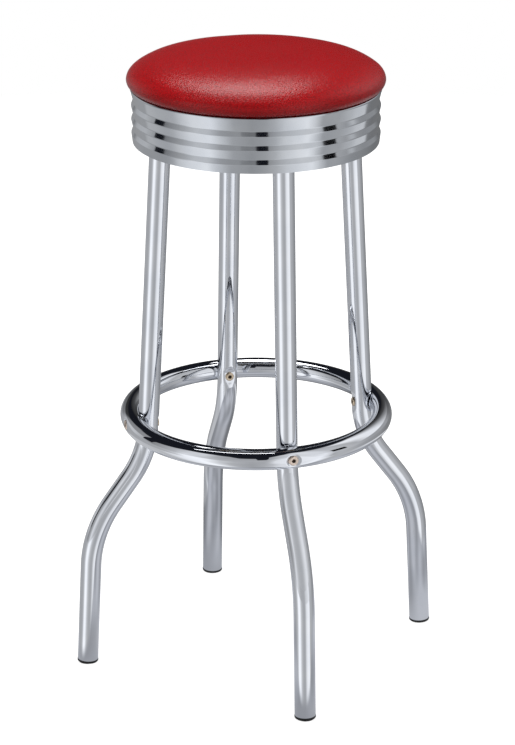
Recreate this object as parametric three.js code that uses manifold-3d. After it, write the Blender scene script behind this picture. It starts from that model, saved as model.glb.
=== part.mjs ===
import * as THREE from 'three';
import { mergeVertices } from 'three/addons/utils/BufferGeometryUtils.js';
import Module from 'manifold-3d';

// Counter stool: four bent tube legs, a foot ring, a ball-bearing swivel and a round padded seat.
// Lengths are in millimetres and angles in degrees. Z is up and the floor is at zero.

// Clearances, cutters and facets
const clearance = 0.3;
const cutOverrun = 4;
const weldDistance = 0.0001;
const turnSides = 40;
const tubeSides = 12;
const ringBoreSides = 8;
const hardwareSides = 12;
const holeSides = 8;

// Leg tube: centreline corners in the leg's own upright plane, counted from the stool's axis
const legTubeDiameter = 25.4;
const legTubeWall = 1.5;
const armInnerRadius = 22;
const armHeight = 699.1;
const shoulderRadius = 114.4;
const shoulderBendRadius = 38;
const kneeRadius = 138.2;
const kneeHeight = 269.6;
const kneeBendRadius = 120;
const ankleRadius = 208.8;
const ankleHeight = 173.6;
const ankleBendRadius = 148;
const footRadius = 218;
const bendSteps = [4, 3, 3];

// Foot ring, pressed into a saddle in each leg
const ringTubeDiameter = 25.4;
const ringTubeWall = 1.5;
const ringHeight = 310;
const ringNestDepth = 7.4;

// Connector bolt through ring and leg, and the barrel nut that takes it
const boltDiameter = 6.3;
const boltHeadDiameter = 12;
const boltHeadThickness = 1.6;
const boltSocketWidth = 4;
const boltSocketDepth = 4.5;
const boltSeatDepth = 3.2;
const boltPocketDiameter = 19;
const ringFlatDepth = 1.5;
const ringFlatReach = 32;
const nutHeadDiameter = 11;
const nutHeadThickness = 1.8;
const nutBarrelDiameter = 8.8;
const nutLength = 13.5;
const nutSocketDepth = 4;
const nutSeatDepth = 2.1;
const nutPocketDiameter = 18;
const seatMargin = 1;

// Arm bolts that hold the legs under the swivel
const armBoltRadii = [34, 66];
const armBoltHeadWidth = 10;
const armBoltHeadThickness = 4.2;

// Glides under the legs
const glideDiameter = 26;
const glideThickness = 3.4;
const glideSpigotLength = 14;

// Swivel: two square plates on a ring of balls, held by a hollow rivet
const plateSide = 152;
const plateThickness = 3;
const plateCornerRadius = 14;
const plateGap = 5.9;
const collarDiameter = 11;
const collarHeight = 2.5;
const ballDiameter = 8;
const ballCount = 12;
const raceRadius = 49;
const raceSides = 8;
const cageWidth = 12;
const cageThickness = 1.2;
const rivetDiameter = 20;
const rivetBore = 14;
const rivetFlangeDiameter = 32;
const rivetFlangeThickness = 1.5;

// Wood screws that hold the upper plate and the hoop to the board
const screwDiameter = 4.2;
const screwHeadDiameter = 9;
const screwHeadThickness = 2.6;
const screwLength = 10;
const plateScrewInset = 12.5;

// Seat board and cushion
const boardThickness = 12;
const boardRecessDepth = 3;
const cushionRadius = 152.8;
const cushionRimHeight = 7.8;
const crownRise = 29.9;
const crownSteps = 7;
const rimSteps = 3;
const coverThickness = 1.2;
const foamSkirtThickness = 6.5;
const foamSkirtLift = 3;
const foamSkirtTaper = 2;
const tuckWidth = 10;
const crownSpreadPower = 3.48;
const crownRisePower = 1.84;

// Ribbed band
const bandSheet = 1;
const bandOverhang = 5.5;
const bandLipFlare = 1.1;
const bandLipRound = 1.8;
const bandTopHeight = 16.3;
const ribPitch = 16.5;
const ribDepth = 2.4;
const ribStepHeight = 6;
const ribCount = 3;
const bandSkirtHeight = 10.2;
const bandSkirtTaper = 1.2;
const bandHemWidth = 4;
const bandLipWidth = 6;

// Flat hoop that clamps the band's lip and the cover's tuck to the board
const hoopThickness = 1.5;
const hoopLanding = 10;
const hoopScrewCount = 4;

// Sizes worked out from the ones above
const legTubeRadius = legTubeDiameter / 2;
const ringTubeRadius = ringTubeDiameter / 2;
const boltHoleDiameter = boltDiameter + 2 * clearance;
const armTop = armHeight + legTubeRadius;
const lowerPlateBottom = armTop + clearance;
const lowerPlateTop = lowerPlateBottom + plateThickness;
const raceHeight = lowerPlateTop + plateGap / 2;
const upperPlateBottom = lowerPlateTop + plateGap;
const upperPlateTop = upperPlateBottom + plateThickness;
const boardBottom = upperPlateTop + clearance;
const boardTop = boardBottom + boardThickness;
const boardRadius = cushionRadius - coverThickness - clearance - foamSkirtThickness;
const tuckInnerRadius = boardRadius - tuckWidth;
const tuckTop = boardBottom - clearance;
const tuckBottom = tuckTop - coverThickness;
const rimHeight = boardBottom + cushionRimHeight;
const bandTop = tuckBottom - clearance;
const bandCrestRadius = cushionRadius - bandOverhang;
const bandLipInnerRadius = bandCrestRadius + bandLipFlare - bandLipRound - bandLipWidth;
const hoopTop = bandTop - bandSheet - clearance;
const hoopBottom = hoopTop - hoopThickness;
const hoopInnerRadius = tuckInnerRadius - hoopLanding;
const hoopOuterRadius = bandCrestRadius - ribDepth - bandSheet - clearance;
const hoopScrewRadius = tuckInnerRadius - hoopLanding / 2;

// Materials
const chrome = { color: 0xd9dde3, roughness: 0.06, metalness: 1 };
const zincPlate = { color: 0xb9bcbd, roughness: 0.4, metalness: 1 };
const bearingSteel = { color: 0xc6c9cc, roughness: 0.15, metalness: 1 };
const nickelPlate = { color: 0xc9c3b4, roughness: 0.25, metalness: 1 };
const brassPlate = { color: 0xb98c62, roughness: 0.3, metalness: 1 };
const blackPlastic = { color: 0x17181a, roughness: 0.55, metalness: 0 };
const redVinyl = { color: 0x9c1a1f, roughness: 0.36, metalness: 0 };
const seatFoam = { color: 0xe6dcc0, roughness: 0.95, metalness: 0 };
const plywood = { color: 0xc9a676, roughness: 0.8, metalness: 0 };

const wasm = await Module();
wasm.setup();

// Geometry with shared vertices only, as closed solids need
function welded(geometry) {
  const bare = geometry.clone();
  bare.deleteAttribute('normal');
  bare.deleteAttribute('uv');
  const merged = mergeVertices(bare, weldDistance);
  const corners = merged.index.array;
  const kept = [];
  for (let i = 0; i < corners.length; i += 3) {
    const [a, b, c] = corners.slice(i, i + 3);
    if (a !== b && b !== c && c !== a) {
      kept.push(a, b, c);
    }
  }
  merged.setIndex(kept);
  return merged;
}

function toSolid(geometry) {
  const shared = welded(geometry);
  return new wasm.Manifold(new wasm.Mesh({
    numProp: 3,
    vertProperties: new Float32Array(shared.attributes.position.array),
    triVerts: new Uint32Array(shared.index.array),
  }));
}

function toGeometry(solid) {
  const { vertProperties, triVerts } = solid.getMesh();
  const geometry = new THREE.BufferGeometry();
  geometry.setAttribute('position', new THREE.BufferAttribute(vertProperties, 3));
  geometry.setIndex(new THREE.BufferAttribute(triVerts, 1));
  geometry.computeVertexNormals();
  return geometry;
}

// Boolean cut and join on three.js geometries
function carved(body, ...cutters) {
  let solid = toSolid(body);
  for (const cutter of cutters) {
    solid = solid.subtract(toSolid(cutter));
  }
  return toGeometry(solid);
}

function joined(body, ...others) {
  let solid = toSolid(body);
  for (const other of others) {
    solid = solid.add(toSolid(other));
  }
  return toGeometry(solid);
}

// Solid of revolution about Z. The outline runs anticlockwise, radius across and height up.
function turned(outline, sides) {
  const points = outline.map(([radius, height]) => new THREE.Vector2(radius, height));
  return new THREE.LatheGeometry(points, sides).rotateX(Math.PI / 2);
}

function disc(radius, bottom, top, sides) {
  return turned([[0, bottom], [radius, bottom], [radius, top], [0, top]], sides);
}

function hexagon(width, bottom, top) {
  return disc(width / Math.sqrt(3), bottom, top, 6);
}

function torus(centreRadius, tubeRadius, height, aroundSides, sectionSides) {
  const outline = [];
  for (let i = 0; i <= sectionSides; i++) {
    const angle = 2 * Math.PI * i / sectionSides;
    outline.push([centreRadius + tubeRadius * Math.cos(angle), height + tubeRadius * Math.sin(angle)]);
  }
  return turned(outline, aroundSides);
}

// Turns a piece made along Z so that it points along X
function alongX(geometry, height) {
  return geometry.rotateY(Math.PI / 2).translate(0, 0, height);
}

const planeOrigin = new THREE.Vector2();

// Path in the X-Z plane with an arc at each inner corner and a station only where it bends
class BentPath extends THREE.Curve {
  constructor(corners, radii, steps) {
    super();
    this.stations = [];
    const runs = corners.slice(1).map((corner, i) => corner.clone().sub(corners[i]).normalize());
    this.addStation(corners[0], runs[0]);
    radii.forEach((radius, i) => this.addBend(corners[i + 1], runs[i], runs[i + 1], radius, steps[i]));
    this.addStation(corners.at(-1), runs.at(-1));
  }

  addStation(place, direction) {
    this.stations.push({
      point: new THREE.Vector3(place.x, 0, place.y),
      tangent: new THREE.Vector3(direction.x, 0, direction.y),
    });
  }

  addBend(corner, before, after, radius, steps) {
    const turn = Math.atan2(before.cross(after), before.dot(after));
    const reach = radius * Math.tan(Math.abs(turn) / 2);
    const start = corner.clone().addScaledVector(before, -reach);
    const spoke = before.clone().rotateAround(planeOrigin, -Math.sign(turn) * Math.PI / 2);
    const centre = start.clone().addScaledVector(spoke, -radius);
    for (let i = 0; i <= steps; i++) {
      const angle = turn * i / steps;
      const place = start.clone().rotateAround(centre, angle);
      this.addStation(place, before.clone().rotateAround(planeOrigin, angle));
    }
  }

  stationAt(share) {
    return this.stations[Math.round(share * (this.stations.length - 1))];
  }

  getPointAt(share) {
    return this.stationAt(share).point.clone();
  }

  getTangentAt(share) {
    return this.stationAt(share).tangent.clone();
  }

  // Distance from the stool's axis where the path passes a height
  radiusAtHeight(height) {
    for (let i = 1; i < this.stations.length; i++) {
      const upper = this.stations[i - 1].point;
      const lower = this.stations[i].point;
      if (upper.z > height && lower.z <= height) {
        const share = (upper.z - height) / (upper.z - lower.z);
        return THREE.MathUtils.lerp(upper.x, lower.x, share);
      }
    }
    return this.stations.at(-1).point.x;
  }
}

function tubeAlong(path, radius, sides) {
  const section = new THREE.Shape().absarc(0, 0, radius, 0, 2 * Math.PI);
  const steps = path.stations.length - 1;
  return new THREE.ExtrudeGeometry(section, { steps, curveSegments: sides / 2, extrudePath: path });
}

// Leg centreline from the arm's inner end to the cut above the glide, run on at both ends for a bore
const shinRun = new THREE.Vector2(footRadius - ankleRadius, -ankleHeight).normalize();

function legCorners(runOn) {
  const footLift = (glideThickness + clearance - runOn) / -shinRun.y;
  const foot = new THREE.Vector2(footRadius, 0).addScaledVector(shinRun, -footLift);
  return [
    new THREE.Vector2(armInnerRadius - runOn, armHeight),
    new THREE.Vector2(shoulderRadius, armHeight),
    new THREE.Vector2(kneeRadius, kneeHeight),
    new THREE.Vector2(ankleRadius, ankleHeight),
    foot,
  ];
}

function legPath(runOn) {
  return new BentPath(legCorners(runOn), [shoulderBendRadius, kneeBendRadius, ankleBendRadius], bendSteps);
}

const legRadiusAtRing = legPath(0).radiusAtHeight(ringHeight);
const ringRadius = legRadiusAtRing + legTubeRadius + ringTubeRadius - ringNestDepth;
const ringOuterRadius = ringRadius + ringTubeRadius;
const legInnerFace = legRadiusAtRing - legTubeRadius;
const boltSeat = ringOuterRadius - boltSeatDepth;
const nutSeat = legInnerFace + nutSeatDepth;

// Flats and pockets pressed into a tube under a fastener's head. Grown by the wall they shape the bore.
function ringFlat(grow) {
  const face = ringOuterRadius - ringFlatDepth - grow;
  return alongX(disc(ringFlatReach, face, ringOuterRadius + cutOverrun, holeSides), ringHeight);
}

function ringPocket(grow) {
  const radius = boltPocketDiameter / 2 + grow;
  return alongX(disc(radius, boltSeat - grow, ringOuterRadius + cutOverrun, holeSides), ringHeight);
}

function nutPocket(grow) {
  const radius = nutPocketDiameter / 2 + grow;
  return alongX(disc(radius, legInnerFace - cutOverrun, nutSeat + grow, holeSides), ringHeight);
}

function ringSaddle(grow) {
  return torus(ringRadius, ringTubeRadius + clearance + grow, ringHeight, turnSides, tubeSides);
}

function buildLeg() {
  const outside = tubeAlong(legPath(0), legTubeRadius, tubeSides);
  const shaped = carved(outside, ringSaddle(0), nutPocket(0));
  const boreRadius = legTubeRadius - legTubeWall;
  const bore = tubeAlong(legPath(cutOverrun), boreRadius, tubeSides);
  const shapedBore = carved(bore, ringSaddle(legTubeWall), nutPocket(legTubeWall));
  const ringBoltHole = alongX(
    disc(boltHoleDiameter / 2, legRadiusAtRing, ringOuterRadius, holeSides), ringHeight);
  const nutHoleRadius = nutBarrelDiameter / 2 + clearance;
  const nutHole = alongX(
    disc(nutHoleRadius, legInnerFace - cutOverrun, legRadiusAtRing, hardwareSides), ringHeight);
  const armHoles = armBoltRadii.map((radius) => armBoltHole(radius));
  return carved(shaped, shapedBore, ringBoltHole, nutHole, ...armHoles);
}

function armBoltHole(radius) {
  const bottom = armHeight - legTubeRadius - cutOverrun;
  const top = lowerPlateTop + collarHeight + cutOverrun;
  return disc(boltHoleDiameter / 2, bottom, top, holeSides).translate(radius, 0, 0);
}

// Hollow ring with a flat, a pocket and a bolt hole at each leg
function buildRing() {
  const outside = torus(ringRadius, ringTubeRadius, ringHeight, turnSides, tubeSides);
  const bore = torus(ringRadius, ringTubeRadius - ringTubeWall, ringHeight, turnSides, ringBoreSides);
  const pockets = [];
  const grownPockets = [];
  const holes = [];
  for (const leg of legs) {
    pockets.push(ringFlat(0).rotateZ(leg.turn), ringPocket(0).rotateZ(leg.turn));
    grownPockets.push(ringFlat(ringTubeWall).rotateZ(leg.turn));
    grownPockets.push(ringPocket(ringTubeWall).rotateZ(leg.turn));
    const hole = disc(boltHoleDiameter / 2, legRadiusAtRing, ringOuterRadius + cutOverrun, holeSides);
    holes.push(alongX(hole, ringHeight).rotateZ(leg.turn));
  }
  const shapedBore = carved(bore, ...grownPockets);
  return carved(carved(outside, ...pockets), shapedBore, ...holes);
}

function buildRingBolt() {
  const headBottom = boltSeat + clearance;
  const headTop = headBottom + boltHeadThickness;
  const headRadius = boltHeadDiameter / 2;
  const tip = nutSeat - clearance - nutHeadThickness + nutSocketDepth + clearance;
  const body = turned([
    [0, tip],
    [boltDiameter / 2, tip],
    [boltDiameter / 2, headBottom],
    [headRadius, headBottom],
    [headRadius, headTop - boltHeadThickness / 2],
    [headRadius - boltHeadThickness / 2, headTop],
    [0, headTop],
  ], hardwareSides);
  const socket = hexagon(boltSocketWidth, headTop - boltSocketDepth, headTop + cutOverrun);
  return alongX(carved(body, socket), ringHeight);
}

function buildBarrelNut() {
  const headBack = nutSeat - clearance;
  const headFace = headBack - nutHeadThickness;
  const headRadius = nutHeadDiameter / 2;
  const barrelEnd = headFace + nutLength;
  const body = turned([
    [0, headFace],
    [headRadius - nutHeadThickness / 2, headFace],
    [headRadius, headFace + nutHeadThickness / 2],
    [headRadius, headBack],
    [nutBarrelDiameter / 2, headBack],
    [nutBarrelDiameter / 2, barrelEnd],
    [0, barrelEnd],
  ], hardwareSides);
  const socket = hexagon(boltSocketWidth, headFace - cutOverrun, headFace + nutSocketDepth);
  const thread = disc(boltHoleDiameter / 2, headFace + nutSocketDepth, barrelEnd + cutOverrun, hardwareSides);
  return alongX(carved(body, socket, thread), ringHeight);
}

function buildArmBolt(radius) {
  const headTop = armHeight - legTubeRadius - clearance;
  const head = hexagon(armBoltHeadWidth, headTop - armBoltHeadThickness, headTop);
  const shankBottom = headTop - armBoltHeadThickness / 2;
  const shank = disc(boltDiameter / 2, shankBottom, lowerPlateTop + collarHeight, holeSides);
  return joined(head, shank).translate(radius, 0, 0);
}

// Glide: a flange and spigot square to the leg, with its underside cut level with the floor
function buildGlide() {
  const lean = Math.atan2(shinRun.x, -shinRun.y);
  const length = glideThickness / -shinRun.y;
  const spigotRadius = legTubeRadius - legTubeWall - clearance;
  const body = turned([
    [0, -cutOverrun],
    [glideDiameter / 2, -cutOverrun],
    [glideDiameter / 2, length],
    [spigotRadius, length],
    [spigotRadius, length + glideSpigotLength],
    [0, length + glideSpigotLength],
  ], tubeSides).rotateY(-lean).translate(footRadius, 0, 0);
  const below = disc(glideDiameter, -glideDiameter, 0, holeSides).translate(footRadius, 0, 0);
  return carved(body, below);
}

// Square plate with rounded corners, a centre hole and a ball track on one face
function roundedPlate(bottom) {
  const half = plateSide / 2;
  const inner = half - plateCornerRadius;
  const outline = new THREE.Shape();
  outline.absarc(inner, inner, plateCornerRadius, 0, Math.PI / 2);
  outline.absarc(-inner, inner, plateCornerRadius, Math.PI / 2, Math.PI);
  outline.absarc(-inner, -inner, plateCornerRadius, Math.PI, 1.5 * Math.PI);
  outline.absarc(inner, -inner, plateCornerRadius, 1.5 * Math.PI, 2 * Math.PI);
  const plate = new THREE.ExtrudeGeometry(outline, {
    depth: plateThickness, bevelEnabled: false, curveSegments: 3, steps: 1 });
  return plate.translate(0, 0, bottom);
}

function ballTrack() {
  return torus(raceRadius, ballDiameter / 2 + clearance, raceHeight, turnSides, raceSides);
}

// Hole whose flats clear the rivet at any turn of the seat
function centreHole(bottom) {
  const radius = (rivetDiameter / 2 + clearance) / Math.cos(Math.PI / hardwareSides);
  return disc(radius, bottom - cutOverrun, bottom + plateThickness + cutOverrun, hardwareSides);
}

function buildLowerPlate() {
  const places = legs.flatMap((leg) => armBoltRadii.map((radius) => ({ radius, turn: leg.turn })));
  const collarTop = lowerPlateTop + collarHeight;
  const collars = places.map(({ radius, turn }) =>
    disc(collarDiameter / 2, lowerPlateBottom + plateThickness / 2, collarTop, holeSides)
      .translate(radius, 0, 0).rotateZ(turn));
  const holes = places.map(({ radius, turn }) => armBoltHole(radius).rotateZ(turn));
  const plate = joined(roundedPlate(lowerPlateBottom), ...collars);
  return carved(plate, ballTrack(), centreHole(lowerPlateBottom), ...holes);
}

const plateScrewPlace = plateSide / 2 - plateScrewInset;

function screwHole(bottom, top) {
  return disc(screwDiameter / 2 + clearance, bottom, top, holeSides);
}

function buildUpperPlate() {
  const holes = legs.map((leg) =>
    screwHole(upperPlateBottom - cutOverrun, upperPlateTop + cutOverrun)
      .translate(plateScrewPlace, plateScrewPlace, 0).rotateZ(leg.turn));
  return carved(roundedPlate(upperPlateBottom), ballTrack(), centreHole(upperPlateBottom), ...holes);
}

function buildCage() {
  const inner = raceRadius - cageWidth / 2;
  const outer = raceRadius + cageWidth / 2;
  const bottom = raceHeight - cageThickness / 2;
  const top = raceHeight + cageThickness / 2;
  const ballHoleRadius = (ballDiameter / 2 + clearance) / Math.cos(Math.PI / holeSides);
  const outline = [[inner, bottom], [outer, bottom], [outer, top], [inner, top], [inner, bottom]];
  const ring = turned(outline, turnSides);
  const holes = ballTurns.map((turn) =>
    disc(ballHoleRadius, bottom - cutOverrun, top + cutOverrun, holeSides)
      .translate(raceRadius, 0, 0).rotateZ(turn));
  return carved(ring, ...holes);
}

// Hollow rivet with one flange under the lower plate and one over the upper plate
function buildRivet() {
  const lowerFlangeTop = lowerPlateBottom - clearance;
  const upperFlangeBottom = upperPlateTop + clearance;
  const bottom = lowerFlangeTop - rivetFlangeThickness;
  const top = upperFlangeBottom + rivetFlangeThickness;
  return turned([
    [rivetBore / 2, bottom],
    [rivetFlangeDiameter / 2, bottom],
    [rivetFlangeDiameter / 2, lowerFlangeTop],
    [rivetDiameter / 2, lowerFlangeTop],
    [rivetDiameter / 2, upperFlangeBottom],
    [rivetFlangeDiameter / 2, upperFlangeBottom],
    [rivetFlangeDiameter / 2, top],
    [rivetBore / 2, top],
    [rivetBore / 2, bottom],
  ], hardwareSides);
}

// Pan head screw pointing up, with its head just under a surface
function buildScrew(surface) {
  const headTop = surface - clearance;
  const headBottom = headTop - screwHeadThickness;
  const tip = boardBottom + screwLength;
  return turned([
    [0, headBottom],
    [screwDiameter / 2, headBottom],
    [screwHeadDiameter / 2, headTop - screwHeadThickness / 2],
    [screwHeadDiameter / 2, headTop],
    [screwDiameter / 2, headTop],
    [screwDiameter / 2, tip - screwDiameter / 2],
    [0, tip],
  ], holeSides);
}

function buildBoard() {
  const board = disc(boardRadius, boardBottom, boardTop, turnSides);
  const recess = disc(rivetFlangeDiameter / 2 + seatMargin, boardBottom - cutOverrun,
    boardBottom + boardRecessDepth, turnSides / 2);
  const holeTop = boardBottom + screwLength + clearance;
  const plateHoles = legs.map((leg) => screwHole(boardBottom - cutOverrun, holeTop)
    .translate(plateScrewPlace, plateScrewPlace, 0).rotateZ(leg.turn));
  const hoopHoles = hoopScrewTurns.map((turn) => screwHole(boardBottom - cutOverrun, holeTop)
    .translate(hoopScrewRadius, 0, 0).rotateZ(turn));
  return carved(board, recess, ...plateHoles, ...hoopHoles);
}

// Cushion surface from the rim to the middle of the crown, drawn in by an inset
function crownOutline(inset, steps) {
  const points = [];
  for (let i = 0; i <= steps; i++) {
    const angle = Math.PI / 2 * i / steps;
    const spread = Math.cos(angle) ** (2 / crownSpreadPower);
    const rise = Math.sin(angle) ** (2 / crownRisePower);
    points.push([(cushionRadius - inset) * spread, rimHeight + (crownRise - inset) * rise]);
  }
  points.at(-1)[0] = 0;
  return points;
}

// Lower roll of the cushion, from under the board out to the rim
function rollOutline(inset, steps) {
  const drop = rimHeight - tuckBottom - inset;
  const reach = cushionRadius - boardRadius - inset;
  const points = [];
  for (let i = 0; i < steps; i++) {
    const angle = Math.PI / 2 * i / steps;
    points.push([boardRadius + reach * Math.sin(angle), rimHeight - drop * Math.cos(angle)]);
  }
  return points;
}

function buildCover() {
  const outside = [...rollOutline(0, rimSteps), ...crownOutline(0, crownSteps)];
  const inside = [...rollOutline(coverThickness, rimSteps), ...crownOutline(coverThickness, crownSteps)];
  return turned([
    ...inside.reverse(),
    [tuckInnerRadius, tuckTop],
    [tuckInnerRadius, tuckBottom],
    ...outside,
  ], turnSides);
}

// Moulded foam pad over the board, with a skirt down round the board's edge
function buildFoam() {
  const inset = coverThickness + clearance;
  const skirtBottom = boardBottom + foamSkirtLift;
  const outside = crownOutline(inset, crownSteps);
  return turned([
    [0, boardTop + clearance],
    [boardRadius + clearance, boardTop + clearance],
    [boardRadius + clearance, skirtBottom],
    [cushionRadius - inset - foamSkirtTaper, skirtBottom],
    ...outside,
  ], turnSides);
}

// Band outline from its hem up to the lip. From each crest it steps in to a notch and widens again above.
function bandFace(inset) {
  const radius = bandCrestRadius - inset;
  const lowestNotch = bandTop - bandTopHeight - (ribCount - 1) * ribPitch;
  const hem = lowestNotch - ribStepHeight - bandSkirtHeight;
  const points = [[radius - bandSkirtTaper, hem]];
  for (let rib = 0; rib < ribCount; rib++) {
    const notch = lowestNotch + rib * ribPitch;
    points.push([radius, notch - ribStepHeight]);
    points.push([radius - ribDepth, notch]);
  }
  points.push([radius + bandLipFlare, bandTop - bandLipRound]);
  return points;
}

function buildBand() {
  const outside = bandFace(0);
  const inside = bandFace(bandSheet);
  const lipRadius = bandCrestRadius + bandLipFlare;
  const bottom = outside[0][1];
  const hemRadius = bandCrestRadius - bandHemWidth;
  const hemTop = bottom + bandSheet;
  inside[0][1] = hemTop;
  return turned([
    [hemRadius, bottom],
    ...outside,
    [lipRadius - bandLipRound, bandTop],
    [bandLipInnerRadius, bandTop],
    [bandLipInnerRadius, bandTop - bandSheet],
    [lipRadius - bandLipRound - bandSheet, bandTop - bandSheet],
    ...inside.reverse(),
    [hemRadius, hemTop],
    [hemRadius, bottom],
  ], turnSides);
}

function buildHoop() {
  const hoop = turned([
    [hoopInnerRadius, hoopBottom],
    [hoopOuterRadius, hoopBottom],
    [hoopOuterRadius, hoopTop],
    [hoopInnerRadius, hoopTop],
    [hoopInnerRadius, hoopBottom],
  ], turnSides);
  const holes = hoopScrewTurns.map((turn) => screwHole(hoopBottom - cutOverrun, hoopTop + cutOverrun)
    .translate(hoopScrewRadius, 0, 0).rotateZ(turn));
  return carved(hoop, ...holes);
}

const legs = ['right', 'back', 'left', 'front'].map((side, i) => ({ side, turn: i * Math.PI / 2 }));
const ballTurns = Array.from({ length: ballCount }, (_, i) => 2 * Math.PI * i / ballCount);
const hoopScrewTurns = Array.from({ length: hoopScrewCount }, (_, i) => 2 * Math.PI * i / hoopScrewCount);

function addPiece(group, name, geometry, look) {
  const mesh = new THREE.Mesh(geometry, new THREE.MeshStandardMaterial(look));
  mesh.name = name;
  group.add(mesh);
  return mesh;
}

// Four legs, each with its glide and fasteners, turned about the stool's axis
function addLegs(stool) {
  for (const { side, turn } of legs) {
    const quarter = new THREE.Group();
    quarter.rotation.z = turn;
    addPiece(quarter, `leg_${side}`, buildLeg(), chrome);
    addPiece(quarter, `glide_${side}`, buildGlide(), blackPlastic);
    addPiece(quarter, `ring_bolt_${side}`, buildRingBolt(), nickelPlate);
    addPiece(quarter, `barrel_nut_${side}`, buildBarrelNut(), brassPlate);
    addPiece(quarter, `arm_bolt_inner_${side}`, buildArmBolt(armBoltRadii[0]), zincPlate);
    addPiece(quarter, `arm_bolt_outer_${side}`, buildArmBolt(armBoltRadii[1]), zincPlate);
    stool.add(quarter);
  }
}

function addSwivel(stool) {
  addPiece(stool, 'swivel_lower_plate', buildLowerPlate(), zincPlate);
  addPiece(stool, 'swivel_upper_plate', buildUpperPlate(), zincPlate);
  addPiece(stool, 'swivel_rivet', buildRivet(), zincPlate);
  addPiece(stool, 'ball_cage', buildCage(), brassPlate);
  ballTurns.forEach((turn, i) => {
    const spoke = new THREE.Group();
    spoke.rotation.z = turn;
    const ball = new THREE.IcosahedronGeometry(ballDiameter / 2, 1);
    addPiece(spoke, `swivel_ball_${i + 1}`, welded(ball), bearingSteel)
      .position.set(raceRadius, 0, raceHeight);
    stool.add(spoke);
  });
  legs.forEach(({ turn }, i) => {
    const corner = new THREE.Group();
    corner.rotation.z = turn;
    addPiece(corner, `plate_screw_${i + 1}`, welded(buildScrew(upperPlateBottom)), zincPlate)
      .position.set(plateScrewPlace, plateScrewPlace, 0);
    stool.add(corner);
  });
}

function addSeat(stool) {
  addPiece(stool, 'seat_board', buildBoard(), plywood);
  addPiece(stool, 'seat_foam', welded(buildFoam()), seatFoam);
  addPiece(stool, 'seat_cover', welded(buildCover()), redVinyl);
  addPiece(stool, 'seat_band', welded(buildBand()), chrome);
  addPiece(stool, 'band_hoop', buildHoop(), zincPlate);
  hoopScrewTurns.forEach((turn, i) => {
    const spoke = new THREE.Group();
    spoke.rotation.z = turn;
    addPiece(spoke, `hoop_screw_${i + 1}`, welded(buildScrew(hoopBottom)), zincPlate)
      .position.x = hoopScrewRadius;
    stool.add(spoke);
  });
}

const stool = new THREE.Group();
addLegs(stool);
addPiece(stool, 'foot_ring', buildRing(), chrome);
addSwivel(stool);
addSeat(stool);

export default stool;
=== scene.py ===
import math
from functools import partial

import bmesh
import bpy
from mathutils import Matrix, Vector


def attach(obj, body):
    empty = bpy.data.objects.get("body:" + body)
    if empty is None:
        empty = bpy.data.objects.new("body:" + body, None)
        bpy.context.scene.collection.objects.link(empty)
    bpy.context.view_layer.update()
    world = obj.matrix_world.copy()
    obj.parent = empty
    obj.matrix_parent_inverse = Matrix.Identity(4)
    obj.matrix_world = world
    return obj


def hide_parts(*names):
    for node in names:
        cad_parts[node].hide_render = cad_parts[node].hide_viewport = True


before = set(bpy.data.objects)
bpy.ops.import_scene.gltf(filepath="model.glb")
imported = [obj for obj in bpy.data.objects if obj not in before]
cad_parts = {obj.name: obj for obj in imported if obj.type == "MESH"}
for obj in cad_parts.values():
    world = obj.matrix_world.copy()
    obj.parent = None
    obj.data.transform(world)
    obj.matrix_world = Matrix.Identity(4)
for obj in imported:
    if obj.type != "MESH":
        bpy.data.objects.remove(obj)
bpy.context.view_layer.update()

scene = bpy.context.scene
sides = ["right", "back", "left", "front"]  # the legs, on +X, +Y, -X and -Y
photoAzimuth = math.radians(-15.63)
print("stool: frame loaded")


# nodes, colours and meshes

def addNode(tree, kind, *values, out=0, **settings):
    # adds a node such as "Math ADD" and gives one of its outputs; its inputs take the values in order, or
    # those of one dictionary by name or number, and a value that is a socket is linked
    # (a Mix node's two colours are its inputs 6 and 7, and its colour comes from output 2)
    kind, _, operation = kind.partition(" ")
    node = tree.nodes.new(kind if kind.startswith(("Geometry", "NodeGroup")) else "ShaderNode" + kind)
    if operation:
        node.operation = operation
    for key, value in settings.items():
        setattr(node, key, value)
    inputs = values[0] if values and isinstance(values[0], dict) else dict(enumerate(values))
    for key, value in inputs.items():
        if isinstance(value, bpy.types.NodeSocket):
            tree.links.new(value, node.inputs[key])
        else:
            node.inputs[key].default_value = value
    return node.outputs[out] if len(node.outputs) else None


def linear(hexColour):
    channels = [int(hexColour[i:i + 2], 16) / 255 for i in (0, 2, 4)]
    return [c / 12.92 if c <= 0.04045 else ((c + 0.055) / 1.055) ** 2.4 for c in channels] + [1]


def newMesh(name, points, faces):
    mesh = bpy.data.meshes.new(name)
    mesh.from_pydata(points, [], faces)
    mesh.update()
    return mesh


def newPiece(name, data):
    piece = bpy.data.objects.new(name, data)
    scene.collection.objects.link(piece)
    return piece


def shade(mesh, sharpAngle=35):
    form = bmesh.new()
    form.from_mesh(mesh)
    bmesh.ops.recalc_face_normals(form, faces=form.faces)
    for face in form.faces:
        face.smooth = True
    for edge in form.edges:
        edge.smooth = edge.calc_face_angle(0) < math.radians(sharpAngle)
    form.to_mesh(mesh)
    form.free()
    return mesh


def socketKinds(sizes):
    return {name: "Int" if isinstance(size, int) else "Float" for name, size in sizes.items()}


def newShape(name, inputs):
    tree = bpy.data.node_groups.new(name, "GeometryNodeTree")
    tree.interface.new_socket("Geometry", in_out="OUTPUT", socket_type="NodeSocketGeometry")
    for label, kind in inputs.items():
        tree.interface.new_socket(label, in_out="INPUT", socket_type="NodeSocket" + kind)
    return tree, addNode(tree, "NodeGroupInput").node.outputs


def endShape(tree, geometry, material):
    # copies become real faces, because instances aren't kept
    realized = addNode(tree, "GeometryNodeRealizeInstances", {"Geometry": geometry})
    coated = addNode(tree, "GeometryNodeSetMaterial", {"Geometry": realized, "Material": material})
    addNode(tree, "NodeGroupOutput", coated)


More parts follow.
